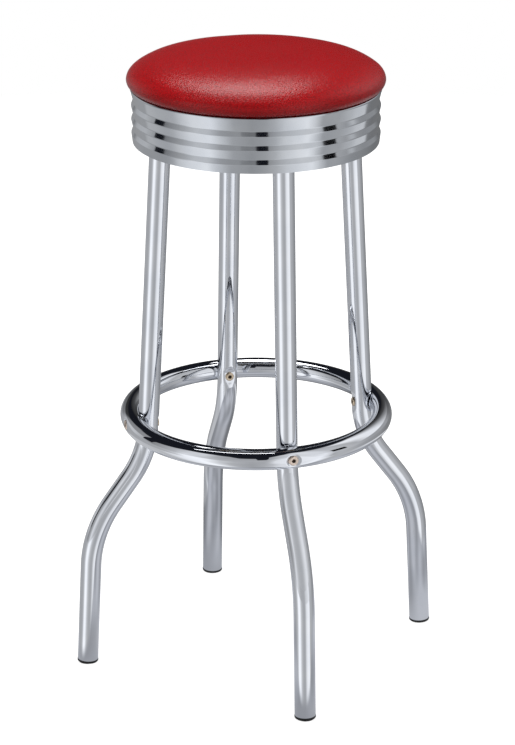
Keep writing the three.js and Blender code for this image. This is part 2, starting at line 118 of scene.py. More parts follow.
def grow(name, tree, values, wall=0, sharpAngle=35):
    # runs a shape tree with its inputs set, gives the sheet its wall, and keeps the plain mesh
    host = newPiece(name + "Host", bpy.data.meshes.new(name + "Host"))
    modifier = host.modifiers.new("shape", "NODES")
    modifier.node_group = tree
    for item in tree.interface.items_tree:
        if item.in_out == "INPUT":
            modifier[item.identifier] = values[item.name]
    if wall:
        solidify = host.modifiers.new("wall", "SOLIDIFY")
        solidify.thickness = wall
        solidify.offset = -1
        solidify.use_even_offset = True
    host.update_tag()
    shown = host.evaluated_get(bpy.context.evaluated_depsgraph_get())
    mesh = bpy.data.meshes.new_from_object(shown)
    mesh.name = name
    bpy.data.objects.remove(host)
    return newPiece(name, shade(mesh, sharpAngle))


def place(piece, body, slotName, *nodes):
    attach(piece, body)
    if nodes:
        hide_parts(*nodes)
    return piece


rowShapes = {
    "round": lambda angle: 1,
    # a hexagon whose flats are the row's radius from the middle
    "hex": lambda angle: 1 / math.cos((angle + math.pi / 6) % (math.pi / 3) - math.pi / 6),
    # the four-armed recess of a wood screw
    "cross": lambda angle: 0.36 + 0.64 * abs(math.cos(2 * angle)) ** 5,
}


def turnedMesh(name, rows, steps=48):
    # rows of (radius, height, shape) turned about Z, closed at rows with no radius
    points, faces, distances, rings = [], [], [], []
    for radius, height, *shape in rows:
        if radius == 0:
            rings.append([len(points)] * steps)
            points.append((0, 0, height))
            distances.append(0)
            continue
        rings.append(list(range(len(points), len(points) + steps)))
        form = rowShapes[shape[0] if shape else "round"]
        for i in range(steps):
            angle = 2 * math.pi * i / steps
            reach = radius * form(angle)
            points.append((reach * math.cos(angle), reach * math.sin(angle), height))
            distances.append(reach)
    closed = rows[0][0] > 0 and rows[-1][0] > 0
    pairs = list(zip(rings, rings[1:] + ([rings[0]] if closed else [])))
    for lower, upper in pairs if closed else pairs[:len(rings) - 1]:
        for i in range(steps):
            j = (i + 1) % steps
            corners = [lower[i], lower[j], upper[j], upper[i]]
            faces.append([c for k, c in enumerate(corners) if c != corners[k - 1]])
    mesh = newMesh(name, points, faces)
    mesh.attributes.new("turnRadius", "FLOAT", "POINT").data.foreach_set("value", distances)
    return shade(mesh)


# materials

def emptyTree(owner):
    owner.use_nodes = True
    owner.node_tree.nodes.clear()
    return owner.node_tree


def newMaterial(name, colour, metallic, roughness):
    material = bpy.data.materials.new(name)
    tree = emptyTree(material)
    surface = addNode(tree, "BsdfPrincipled", {"Base Color": linear(colour), "Metallic": metallic,
        "Roughness": roughness}).node
    addNode(tree, "OutputMaterial", {"Surface": surface.outputs[0]})
    return material, tree, surface


def chromedTubeMaterial():
    # chromium over polished steel tube: a near mirror, with the faint lengthwise lines of the
    # polishing belt and a slow unevenness that bends the reflections a little
    material, tree, surface = newMaterial("chromedSteelTube", "e4e6ea", 1, 0.05)
    add = partial(addNode, tree)
    along = add("Attribute", out="Fac", attribute_name="alongTube")
    around = add("Attribute", out="Vector", attribute_name="aroundTube")
    split = add("SeparateXYZ", around).node.outputs
    # belt lines are about 0.1 mm wide and 60 mm long; drawn 0.7 mm wide so that they show
    belt = add("CombineXYZ", split[0], split[1], add("Math MULTIPLY", along, 0.012))
    lines = add("TexNoise", {"Vector": belt, "Scale": 1400, "Detail": 2})
    where = add("TexCoord", out="Object")
    # hand marks, about 45 mm across
    haze = add("TexNoise", {"Vector": where, "Scale": 22, "Detail": 4})
    clouded = add("Math ADD", add("MapRange", lines, 0.3, 0.7, 0.0, 0.015), add("MapRange", haze, 0.35, 0.75,
        0.01, 0.035))
    tree.links.new(clouded, surface.inputs["Roughness"])
    tint = add("Mix", {0: add("MapRange", haze, 0.3, 0.7, 0, 1), 6: linear("e6e8ec"), 7: linear("dcdfe5")},
        out=2, data_type="RGBA")
    tree.links.new(tint, surface.inputs["Base Color"])
    # 16 mm unevenness left by bending and drawing
    waves = add("TexNoise", {"Vector": where, "Scale": 60, "Detail": 1})
    height = add("Math ADD", add("Math MULTIPLY", waves, 0.6), add("Math MULTIPLY", lines, 0.02))
    tree.links.new(add("Bump", {"Height": height, "Distance": 0.00008, "Strength": 1}),
        surface.inputs["Normal"])
    return material


def chromedBandMaterial():
    # chromium over rolled thin sheet: softer and greyer than the tube, with a satin roll direction
    # round the band that smears the reflections upright
    material, tree, surface = newMaterial("chromedRolledSheet", "c8cbcf", 1, 0.08)
    add = partial(addNode, tree)
    where = add("TexCoord", out="Object")
    split = add("SeparateXYZ", where).node.outputs
    flat = add("CombineXYZ", add("Math MULTIPLY", split[0], 0.04), add("Math MULTIPLY", split[1], 0.04),
        split[2])
    # roll lines, 0.5 mm apart
    lines = add("TexNoise", {"Vector": flat, "Scale": 1800, "Detail": 3})
    haze = add("TexNoise", {"Vector": where, "Scale": 30, "Detail": 3})
    clouded = add("Math ADD", add("MapRange", lines, 0.3, 0.7, 0.0, 0.03), add("MapRange", haze, 0.3, 0.7,
        0.05, 0.09))
    tree.links.new(clouded, surface.inputs["Roughness"])
    tint = add("Mix", {0: add("MapRange", haze, 0.3, 0.7, 0, 1), 6: linear("cbced2"), 7: linear("c1c5cb")},
        out=2, data_type="RGBA")
    tree.links.new(tint, surface.inputs["Base Color"])
    # 22 mm oil-canning of the thin sheet
    waves = add("TexNoise", {"Vector": where, "Scale": 45, "Detail": 1})
    height = add("Math ADD", waves, add("Math MULTIPLY", lines, 0.03))
    tree.links.new(add("Bump", {"Height": height, "Distance": 0.0001, "Strength": 1}),
        surface.inputs["Normal"])
    return material


def vinylMaterial():
    # expanded vinyl on knit backing, embossed with a fine leather pebble: a soft wide gloss that
    # breaks up on the grain
    material, tree, surface = newMaterial("embossedVinyl", "b0141a", 0, 0.34)
    add = partial(addNode, tree)
    where = add("TexCoord", out="Object")
    wander = add("TexNoise", {"Vector": where, "Scale": 300.0}, out="Color")
    bent = add("VectorMath MULTIPLY_ADD", wander, (0.0016,) * 3, where)
    # real pebbles are under 1 mm across; drawn 1.9 mm so that they show
    cells = add("TexVoronoi", {"Vector": bent, "Scale": 530.0, "Smoothness": 0.3}, out="Distance",
        feature="SMOOTH_F1")
    fine = add("TexNoise", {"Vector": where, "Scale": 1900, "Detail": 2})
    broad = add("TexNoise", {"Vector": where, "Scale": 14, "Detail": 3})
    pebble = add("Math SUBTRACT", add("Math MULTIPLY", fine, 0.3), cells)
    tone = add("Mix", {0: add("MapRange", broad, 0.3, 0.7, 0, 1), 6: linear("b80f16"), 7: linear("b00d13")},
        out=2, data_type="RGBA")
    # painted shade: the hollows between the pebbles are painted a darker red
    hollowShaded = add("Mix", {0: add("MapRange", cells, 0.35, 0.75, 0, 0.8), 6: tone, 7: linear("8a090e")}, out=2,
        data_type="RGBA")
    tree.links.new(hollowShaded, surface.inputs["Base Color"])
    gloss = add("Math ADD", add("MapRange", broad, 0.3, 0.7, 0.23, 0.27), add("MapRange", cells, 0.3, 0.8, 0,
        0.08))
    tree.links.new(gloss, surface.inputs["Roughness"])
    surface.inputs["Specular IOR Level"].default_value = 0.27  # the grain's hollows hide part of the gloss
    tree.links.new(add("Bump", {"Height": pebble, "Distance": 0.00021, "Strength": 0.9}),
        surface.inputs["Normal"])
    return material


def blackPlasticMaterial():
    # injection moulded polyethylene: dull black with a fine spark texture and pale scuffs low down
    material, tree, surface = newMaterial("mouldedBlackPolyethylene", "17181a", 0, 0.5)
    add = partial(addNode, tree)
    where = add("TexCoord", out="Object")
    height = add("SeparateXYZ", where, out=2)
    spark = add("TexNoise", {"Vector": where, "Scale": 2500, "Detail": 2})
    scuff = add("Math MULTIPLY",
        add("MapRange", add("TexNoise", {"Vector": where, "Scale": 500, "Detail": 4}), 0.52, 0.7, 0, 1),
        add("MapRange", height, 0.0, 0.0018, 1, 0))
    tree.links.new(add("Mix", {0: scuff, 6: linear("151617"), 7: linear("3a3b3c")}, out=2, data_type="RGBA"),
        surface.inputs["Base Color"])
    tree.links.new(add("MapRange", spark, 0.3, 0.7, 0.42, 0.6), surface.inputs["Roughness"])
    tree.links.new(add("Bump", {"Height": spark, "Distance": 0.00006, "Strength": 1}),
        surface.inputs["Normal"])
    return material


def turnedMetalMaterial(name, bright, dull, roughness, comb, recess=0):
    # plated steel turned on a lathe: rings round the centre, comb of them per metre, and painted
    # shade that darkens a socket recess of that radius
    material, tree, surface = newMaterial(name, bright, 1, roughness)
    add = partial(addNode, tree)
    radius = add("Attribute", out="Fac", attribute_name="turnRadius")
    where = add("TexCoord", out="Object")
    rings = add("Math SINE", add("Math MULTIPLY", radius, comb * 2 * math.pi))
    stain = add("TexNoise", {"Vector": where, "Scale": 350, "Detail": 3})
    tone = add("Mix", {0: add("MapRange", stain, 0.3, 0.7, 0, 1), 6: linear(bright), 7: linear(dull)}, out=2,
        data_type="RGBA")
    # painted shade: inside the socket's radius the colour turns dark brown, standing in for the hole's shade
    if recess:
        tone = add("Mix", {0: add("MapRange", radius, recess, recess * 1.12, 1, 0), 6: tone,
            7: linear("3a3028")}, out=2, data_type="RGBA")
    tree.links.new(tone, surface.inputs["Base Color"])
    tree.links.new(add("Math ADD", add("MapRange", stain, 0.3, 0.7, roughness - 0.05, roughness + 0.08),
        add("Math MULTIPLY", rings, 0.03)), surface.inputs["Roughness"])
    tree.links.new(add("Bump", {"Height": rings, "Distance": 0.00002, "Strength": 1}),
        surface.inputs["Normal"])
    return material


def zincPlateMaterial():
    # bright zinc plate on pressed steel: grey with a faint yellow and blue bloom and rolling lines
    material, tree, surface = newMaterial("brightZincPlate", "b9bcbe", 1, 0.34)
    add = partial(addNode, tree)
    where = add("TexCoord", out="Object")
    bloom = add("TexNoise", {"Vector": where, "Scale": 40, "Detail": 3})
    stretched = add("Mapping", {"Vector": where, "Scale": (0.03, 1, 1)})
    # rolling lines 0.7 mm apart
    rolled = add("TexNoise", {"Vector": stretched, "Scale": 1500, "Detail": 2})
    tone = add("Mix", {0: add("MapRange", bloom, 0.3, 0.7, 0, 1), 6: linear("a5a6a1"), 7: linear("93979d")},
        out=2, data_type="RGBA")
    tree.links.new(tone, surface.inputs["Base Color"])
    tree.links.new(add("Math ADD", add("MapRange", bloom, 0.3, 0.7, 0.28, 0.4), add("MapRange", rolled, 0.3,
        0.7, -0.04, 0.05)), surface.inputs["Roughness"])
    tree.links.new(add("Bump", {"Height": rolled, "Distance": 0.00003, "Strength": 1}),
        surface.inputs["Normal"])
    return material


def steelBallMaterial():
    # ground and lapped bearing steel under a film of grease: mirror bright, a little smeared
    material, tree, surface = newMaterial("lappedBearingSteel", "c8cace", 1, 0.12)
    add = partial(addNode, tree)
    where = add("TexCoord", out="Object")
    smear = add("TexNoise", {"Vector": where, "Scale": 600, "Detail": 3})
    tree.links.new(add("MapRange", smear, 0.3, 0.7, 0.08, 0.26), surface.inputs["Roughness"])
    tree.links.new(add("Mix", {0: add("MapRange", smear, 0.3, 0.7, 0, 1), 6: linear("cdd0d3"),
        7: linear("b3a98f")}, out=2, data_type="RGBA"), surface.inputs["Base Color"])
    return material


def plywoodMaterial():
    # birch plywood, sanded: long pale grain on the faces and thin plies on the edge
    material, tree, surface = newMaterial("sandedBirchPlywood", "caa878", 0, 0.7)
    add = partial(addNode, tree)
    where = add("TexCoord", out="Object")
    height = add("SeparateXYZ", where, out=2)
    stretched = add("Mapping", {"Vector": where, "Scale": (0.07, 1, 1)})
    # grain lines 2 to 3 mm apart
    grain = add("TexNoise", {"Vector": stretched, "Scale": 420, "Detail": 5, "Roughness": 0.65})
    knots = add("TexNoise", {"Vector": where, "Scale": 26, "Detail": 2})
    face = add("Mix", {0: add("MapRange", grain, 0.3, 0.7, 0, 1), 6: linear("d6b98b"), 7: linear("b8925f")},
        out=2, data_type="RGBA")
    face = add("Mix", {0: add("MapRange", knots, 0.3, 0.7, 0, 0.5), 6: face, 7: linear("a67d4c")}, out=2,
        data_type="RGBA")
    # 1.5 mm plies
    plies = add("Math SINE", add("Math MULTIPLY", height, 2 * math.pi / 0.003))
    facing = add("NewGeometry", out="Normal")
    upright = add("Math ABSOLUTE", add("SeparateXYZ", facing, out=2))
    edge = add("Mix", {0: add("MapRange", plies, -0.4, 0.4, 0, 1), 6: linear("8f6a3f"), 7: linear("cfae7d")},
        out=2, data_type="RGBA")
    tree.links.new(add("Mix", {0: add("MapRange", upright, 0.3, 0.6, 1, 0), 6: face, 7: edge}, out=2,
        data_type="RGBA"), surface.inputs["Base Color"])
    tree.links.new(add("MapRange", grain, 0.3, 0.7, 0.6, 0.78), surface.inputs["Roughness"])
    tree.links.new(add("Bump", {"Height": grain, "Distance": 0.0001, "Strength": 1}),
        surface.inputs["Normal"])
    return material


def foamMaterial():
    # open celled polyurethane foam, yellowed: matt, pitted with cells
    material, tree, surface = newMaterial("openCellFoam", "e4d8b6", 0, 0.95)
    add = partial(addNode, tree)
    where = add("TexCoord", out="Object")
    cells = add("TexVoronoi", {"Vector": where, "Scale": 700.0}, out="Distance")
    # painted shade: the pits in the middle of each cell are painted darker
    tree.links.new(add("Mix", {0: cells, 6: linear("b9a878"), 7: linear("eadfbe")}, out=2, data_type="RGBA"),
        surface.inputs["Base Color"])
    tree.links.new(add("Bump", {"Height": cells, "Distance": 0.0005, "Strength": 1}),
        surface.inputs["Normal"])
    return material


chromedTube = chromedTubeMaterial()
chromedSheet = chromedBandMaterial()
embossedVinyl = vinylMaterial()
blackPlastic = blackPlasticMaterial()
nickelPlate = turnedMetalMaterial("nickelPlatedSteel", "eeddd0", "dccaba", 0.32, 1800, 0.0022)
brassPlate = turnedMetalMaterial("brassPlatedSteel", "e2d2bb", "d0bb9f", 0.30, 1500, 0.0022)
zincPlate = zincPlateMaterial()
zincFastener = turnedMetalMaterial("zincPlatedFastener", "c4c5c2", "aeb0b2", 0.3, 1600)
bearingSteel = steelBallMaterial()
birchPlywood = plywoodMaterial()
yellowedFoam = foamMaterial()
print("stool: materials made")


# legs and foot ring

legSizes = {
    "tubeRadius": 0.0127,
    "wall": 0.0015,
    # corners of the centreline, out from the axis and up, with the bend's radius at each
    "corners": [(0.022, 0.6991, 0), (0.1144, 0.6991, 0.038), (0.1382, 0.2696, 0.120),
                (0.2088, 0.1736, 0.148), (0.2178, 0.0037, 0)],
    "nutSeat": 0.12536,
    "nutPocket": 0.0083,
    "saddleBlend": 0.0022,
    "saddleClearance": 0.0003,
}
ringSizes = {
    "radius": 0.15396,
    "height": 0.310,
    "tubeRadius": 0.0127,
    "flat": 0.16516,       # where the tube is pressed flat round each bolt
    "flatBlend": 0.0012,
    "pocket": 0.16346,     # floor of the pocket that the bolt's head sits in
    "pocketRadius": 0.0069,
}


def smoothAbove(tree, value, blend):
    # value where it is above nothing and nothing where it is below, with a rounded knee
    add = partial(addNode, tree)
    root = add("Math SQRT", add("Math MULTIPLY_ADD", value, value, add("Math MULTIPLY", blend, blend)))
    return add("Math MULTIPLY", add("Math ADD", value, root), 0.5)


def sweptTube(tree, path, radius, steps):
    # a round tube along a path, keeping how far along and round it each point lies
    add = partial(addNode, tree)
    length = add("GeometryNodeSplineParameter", out="Length")
    marked = add("GeometryNodeStoreNamedAttribute", {"Geometry": path, "Name": "alongTube", "Value": length},
        data_type="FLOAT", domain="POINT")
    circle = add("GeometryNodeCurvePrimitiveCircle", {"Resolution": steps, "Radius": radius})
    profile = add("GeometryNodeStoreNamedAttribute", {"Geometry": circle, "Name": "aroundTube",
        "Value": add("GeometryNodeInputPosition")}, data_type="FLOAT_VECTOR", domain="POINT")
    return add("GeometryNodeCurveToMesh", {"Curve": marked, "Profile Curve": profile})


def legShape():
    tree, given = newShape("bentLeg", {
        "Path": "Object", "Tube Radius": "Float", "Ring Radius": "Float", "Ring Height": "Float",
        "Ring Tube Radius": "Float", "Saddle Blend": "Float", "Nut Seat": "Float", "Nut Pocket": "Float",
        "Turn": "Float", "Material": "Material"})
    add = partial(addNode, tree)
    # the path's point radius holds the bend radius of each corner
    corners = add("GeometryNodeObjectInfo", {"Object": given["Path"]}, out="Geometry")
    bent = add("GeometryNodeFilletCurve", {"Curve": corners, "Count": 40,
        "Radius": add("GeometryNodeInputRadius")}, mode="POLY")
    plain = add("GeometryNodeSetCurveRadius", {"Curve": bent, "Radius": 1.0})
    path = add("GeometryNodeResampleCurve", {"Curve": plain, "Length": 0.0028}, mode="LENGTH")
    tube = sweptTube(tree, path, given["Tube Radius"], 48)
    # pressed clear of the foot ring
    point = add("GeometryNodeInputPosition")
    outward = add("VectorMath NORMALIZE", add("VectorMath MULTIPLY", point, (1, 1, 0)))
    scaled = add("VectorMath SCALE", {0: outward, "Scale": given["Ring Radius"]})
    lifted = add("CombineXYZ", {2: given["Ring Height"]})
    away = add("VectorMath SUBTRACT", point, add("VectorMath ADD", scaled, lifted))
    distance = add("VectorMath LENGTH", away, out=1)
    depth = smoothAbove(tree, add("Math SUBTRACT", given["Ring Tube Radius"], distance),
        given["Saddle Blend"])
    push = add("VectorMath SCALE", {0: add("VectorMath NORMALIZE", away), "Scale": depth})
    saddled = add("GeometryNodeSetPosition", {"Geometry": tube, "Offset": push})
    # pressed flat under the barrel nut's head
    split = add("SeparateXYZ", point).node.outputs
    rise = add("Math SUBTRACT", split[2], given["Ring Height"])
    across = add("Math SQRT", add("Math MULTIPLY_ADD", split[1], split[1], add("Math MULTIPLY", rise, rise)))
    share = add("MapRange", across, given["Nut Pocket"], add("Math MULTIPLY", given["Nut Pocket"], 1.4), 1.0,
        0.0, interpolation_type="SMOOTHSTEP")
    sunk = add("Math MULTIPLY", share, add("Math MAXIMUM", add("Math SUBTRACT", given["Nut Seat"], split[0]),
        0))
    inner = add("Math LESS_THAN", split[0], add("Math ADD", given["Nut Seat"], given["Tube Radius"]))
    pocket = add("CombineXYZ", add("Math MULTIPLY", sunk, inner))
    pocketed = add("GeometryNodeSetPosition", {"Geometry": saddled, "Offset": pocket})
    turn = add("CombineXYZ", {2: given["Turn"]})
    turned = add("GeometryNodeTransform", {"Geometry": pocketed, "Rotation": turn})
    endShape(tree, turned, given["Material"])
    return tree


def ringShape():
    tree, given = newShape("footRing", {**socketKinds(ringSizes), "material": "Material"})
    add = partial(addNode, tree)
    circle = add("GeometryNodeCurvePrimitiveCircle", {"Resolution": 720, "Radius": given["radius"]})
    tube = sweptTube(tree, circle, given["tubeRadius"], 96)
    # the four bolts are alike: the greater of the two distances points at the nearest one
    split = add("SeparateXYZ", add("GeometryNodeInputPosition")).node.outputs
    sizeX, sizeY = add("Math ABSOLUTE", split[0]), add("Math ABSOLUTE", split[1])
    out, across = add("Math MAXIMUM", sizeX, sizeY), add("Math MINIMUM", sizeX, sizeY)
    pressed = smoothAbove(tree, add("Math SUBTRACT", out, given["flat"]), given["flatBlend"])
    reach = add("Math SQRT", add("Math MULTIPLY_ADD", across, across, add("Math MULTIPLY", split[2],
        split[2])))
    inPocket = add("MapRange", reach, given["pocketRadius"], add("Math MULTIPLY", given["pocketRadius"],
        1.24), 1.0, 0.0, interpolation_type="SMOOTHSTEP")
    proud = add("Math MAXIMUM", add("Math SUBTRACT", add("Math SUBTRACT", out, pressed), given["pocket"]), 0)
    outer = add("Math GREATER_THAN", out, given["radius"])
    hollow = add("Math MULTIPLY", proud, inPocket)
    inward = add("Math MULTIPLY", add("Math MULTIPLY_ADD", hollow, outer, pressed), -1)
    isX = add("Math GREATER_THAN", sizeX, sizeY)
    moveX = add("Math MULTIPLY", add("Math MULTIPLY", inward, add("Math SIGN", split[0])), isX)
    moveY = add("Math MULTIPLY", add("Math MULTIPLY", inward, add("Math SIGN", split[1])),
        add("Math SUBTRACT", 1, isX))
    move = add("CombineXYZ", moveX, moveY, given["height"])
    shaped = add("GeometryNodeSetPosition", {"Geometry": tube, "Offset": move})
    endShape(tree, shaped, given["material"])
    return tree


def makeLegs():
    path = bpy.data.curves.new("legPath", "CURVE")
    path.dimensions = "3D"
    line = path.splines.new("POLY")
    line.points.add(len(legSizes["corners"]) - 1)
    for point, (out, up, bend) in zip(line.points, legSizes["corners"]):
        point.co = (out, 0, up, 1)
        point.radius = bend
    pathPiece = newPiece("legPath", path)
    tree = legShape()
    for i, side in enumerate(sides):
        leg = grow("tubeLeg_" + side, tree, {"Path": pathPiece, "Tube Radius": legSizes["tubeRadius"],
            "Ring Radius": ringSizes["radius"], "Ring Height": ringSizes["height"],
            "Ring Tube Radius": ringSizes["tubeRadius"] + legSizes["saddleClearance"],
            "Saddle Blend": legSizes["saddleBlend"], "Nut Seat": legSizes["nutSeat"],
            "Nut Pocket": legSizes["nutPocket"], "Turn": i * math.pi / 2, "Material": chromedTube},
            wall=legSizes["wall"])
        place(leg, "frame", "chrome_tube", "leg_" + side)
    bpy.data.objects.remove(pathPiece)


def makeRing():
    ring = grow("footRing", ringShape(), {**ringSizes, "material": chromedTube}, sharpAngle=80)
    place(ring, "frame", "chrome_tube", "foot_ring")


makeLegs()
makeRing()
print("stool: legs and foot ring made")


# parts that repeat round the axis

def copiesShape():
    tree, given = newShape("copiesRoundAxis", {
        "Part": "Object", "Copies": "Int", "First Turn": "Float", "Material": "Material"})
    add = partial(addNode, tree)
    points = add("GeometryNodeMeshLine", {"Count": given["Copies"], "Offset": (0, 0, 0)})
    step = add("Math DIVIDE", 2 * math.pi, given["Copies"])
    turn = add("Math MULTIPLY_ADD", add("GeometryNodeInputIndex"), step, given["First Turn"])
    part = add("GeometryNodeObjectInfo", {"Object": given["Part"]}, out="Geometry")
    rotation = add("CombineXYZ", {2: turn})
    copies = add("GeometryNodeInstanceOnPoints", {"Points": points, "Instance": part, "Rotation": rotation})
    endShape(tree, copies, given["Material"])
    return tree


copiesTree = copiesShape()


def repeat(name, meshes, copies, material, firstTurn=0.0):
    # meshes stand in place at the first turn
    form = bmesh.new()
    for mesh in meshes:
        form.from_mesh(mesh)
    whole = bpy.data.meshes.new(name + "Part")
    form.to_mesh(whole)
    form.free()
    part = newPiece(name + "Part", whole)
    piece = grow(name, copiesTree, {"Part": part, "Copies": copies, "First Turn": firstTurn,
        "Material": material})
    bpy.data.objects.remove(part)
    return piece


alongX = Matrix.Rotation(math.pi / 2, 4, "Y")

fastenerSizes = {
    "ringBoltHead": 0.0060, "ringBoltSocket": 0.0020, "ringBoltSeat": 0.16376, "ringBoltFace": 0.16536,
    "nutHead": 0.0055, "nutFace": 0.12326, "nutBarrel": 0.0044, "nutLength": 0.0135,
    "armBoltRadii": [0.034, 0.066], "armBoltHead": 0.0050, "armBoltHeadHeight": 0.0042,
    "boltShank": 0.0031, "ringBoltEnd": 0.1260, "armBoltEnd": 0.7176,
    "screwHead": 0.0045, "screwHeight": 0.0026,
    "screwShank": 0.0021, "screwTaper": 0.7322, "screwPoint": 0.7343,
    # how far out the screws stand and the height of the face under their heads
    "plateScrew": (0.0635, 0.0635, 0.7210), "hoopScrew": (0.1298, 0, 0.7197),
}


def moved(mesh, matrix):
    mesh.transform(matrix)
    return mesh


def makeRingBolts():
    s = fastenerSizes
    head, face, seat, socket = s["ringBoltHead"], s["ringBoltFace"], s["ringBoltSeat"], s["ringBoltSocket"]
    bolt = turnedMesh("ringBolt", [(0, s["ringBoltEnd"]), (s["boltShank"], s["ringBoltEnd"]),
        (s["boltShank"], seat), (head - 0.0003, seat), (head, seat + 0.0004), (head, face - 0.0010),
        (head - 0.0003, face - 0.0005), (head - 0.0010, face - 0.0001), (head - 0.0016, face),
        (socket * 1.9, face - 0.0001), (socket * 1.35, face - 0.0002), (socket * 1.08, face - 0.0004, "hex"),
        (socket, face - 0.0008, "hex"), (socket, face - 0.0014, "hex"), (0, face - 0.0016)])
    piece = repeat("ringBolts", [moved(bolt, Matrix.Translation((0, 0, ringSizes["height"])) @ alongX)],
                   4, nickelPlate)
    place(piece, "frame", "nickel_plate", *["ring_bolt_" + side for side in sides])
    nut = turnedMesh("barrelNut", [(0, s["nutFace"] + 0.0017), (socket, s["nutFace"] + 0.0015, "hex"),
        (socket, s["nutFace"] + 0.0008, "hex"), (socket * 1.08, s["nutFace"] + 0.0003, "hex"),
        (socket * 1.4, s["nutFace"]), (s["nutHead"] - 0.0016, s["nutFace"]),
        (s["nutHead"] - 0.0006, s["nutFace"] + 0.0003), (s["nutHead"] - 0.0001, s["nutFace"] + 0.0009),
        (s["nutHead"], s["nutFace"] + 0.0020), (s["nutBarrel"], s["nutFace"] + 0.0022),
        (s["nutBarrel"], s["nutFace"] + s["nutLength"]), (0, s["nutFace"] + s["nutLength"])])
    piece = repeat("barrelNuts", [moved(nut, Matrix.Translation((0, 0, ringSizes["height"])) @ alongX)],
                   4, brassPlate)
    place(piece, "frame", "brass_plate", *["barrel_nut_" + side for side in sides])


def makeArmBolts():
    s = fastenerSizes
    top = legSizes["corners"][0][1] - legSizes["tubeRadius"]  # underside of the arm
    low, flat = top - 0.0003 - s["armBoltHeadHeight"], s["armBoltHead"]
    meshes = []
    for radius in s["armBoltRadii"]:
        bolt = turnedMesh("armBolt", [
            (0, low + 0.0003), (flat - 0.0014, low + 0.0002), (flat - 0.0008, low),
            (flat - 0.0001, low, "round"), (flat, low + 0.0004, "hex"), (flat, top - 0.0012, "hex"),
            (flat - 0.0001, top - 0.0010), (flat + 0.0012, top - 0.0009), (flat + 0.0012, top - 0.0003),
            (s["boltShank"], top - 0.0002), (s["boltShank"], s["armBoltEnd"]), (0, s["armBoltEnd"])])
        meshes.append(moved(bolt, Matrix.Translation((radius, 0, 0))))
    piece = repeat("armBolts", meshes, 4, zincFastener)
    nodes = [f"arm_bolt_{spot}_{side}" for spot in ("inner", "outer") for side in sides]
    place(piece, "frame", "zinc_plate", *nodes)


def screwMesh(surface):
    # pan head under a surface, point up
    s = fastenerSizes
    top, head, high = surface - 0.0003, s["screwHead"], s["screwHeight"]
    return turnedMesh("woodScrew", [(0, top - high + 0.0016), (0.0008, top - high + 0.0014, "cross"),
        (0.0024, top - high + 0.0002, "cross"), (0.0027, top - high), (0.0032, top - high + 0.0002),
        (head - 0.0005, top - high * 0.62), (head - 0.0001, top - high * 0.35), (head, top - 0.0003),
        (head - 0.0001, top), (s["screwShank"], top), (s["screwShank"], s["screwTaper"]),
        (0, s["screwPoint"])])


def makeScrews():
    screws = []
    for kind in ("plateScrew", "hoopScrew"):
        x, y, surface = fastenerSizes[kind]
        screws.append(moved(screwMesh(surface), Matrix.Translation((x, y, 0))))
    piece = repeat("seatScrews", screws, 4, zincFastener)
    nodes = [f"{kind}_screw_{i}" for kind in ("plate", "hoop") for i in range(1, 5)]
    place(piece, "seat", "zinc_plate", *nodes)


ballSizes = {"radius": 0.004, "reach": 0.049, "height": 0.71805, "count": 12}


def makeBalls():
    s = ballSizes
    form = bmesh.new()
    bmesh.ops.create_icosphere(form, subdivisions=4, radius=s["radius"])
    mesh = bpy.data.meshes.new("ball")
    form.to_mesh(mesh)
    form.free()
    ball = moved(mesh, Matrix.Translation((s["reach"], 0, s["height"])))
    piece = repeat("swivelBalls", [ball], s["count"], bearingSteel)
    place(piece, "ball_set", "bearing_steel", *[f"swivel_ball_{i}" for i in range(1, s["count"] + 1)])


glideSizes = {
    "radius": 0.0130, "thickness": 0.0034, "spigot": 0.01045, "spigotLength": 0.014, "foot": 0.218,
    "belowFloor": 0.003,   # what is ground away
}


def makeGlides():
    s = glideSizes
    ankle = legSizes["corners"][3]
    lean = math.atan2(s["foot"] - ankle[0], ankle[1])  # the shin isn't quite upright
    r, t, low = s["radius"], s["thickness"], -s["belowFloor"]
    glide = turnedMesh("glide", [
        (0, low), (r - 0.0016, low), (r - 0.0014, 0.0001), (r - 0.0005, 0.0005), (r, 0.0013),
        (r, t - 0.0006), (r - 0.0003, t - 0.0001), (r - 0.0009, t), (s["spigot"], t),
        (s["spigot"], t + s["spigotLength"] - 0.001), (s["spigot"] - 0.001, t + s["spigotLength"]),
        (0, t + s["spigotLength"])])
    glide.transform(Matrix.Translation((s["foot"], 0, 0)) @ Matrix.Rotation(-lean, 4, "Y"))
    for vertex in glide.vertices:
        vertex.co.z = max(vertex.co.z, 0)  # ground level with the floor
    piece = repeat("footGlides", [glide], 4, blackPlastic)
    place(piece, "frame", "black_plastic", *["glide_" + side for side in sides])


makeRingBolts()
makeArmBolts()
makeScrews()
makeBalls()
makeGlides()
print("stool: bolts, nuts, screws, balls and glides made")


# ribbed band

bandSizes = {
    "crestRadius": 0.1473, "bottom": 0.6570, "skirtTaper": 0.0012, "lowestCrest": 0.6672,
    "ribPitch": 0.0165, "stepHeight": 0.0060, "ribDepth": 0.0024, "ribs": 3,
    "top": 0.7225, "lipFlare": 0.0011, "lipRound": 0.0018, "flange": 0.0060, "hem": 0.0040,
    "around": 224, "stepsPerRib": 22,
}
bandSheet = 0.0010  # thickness


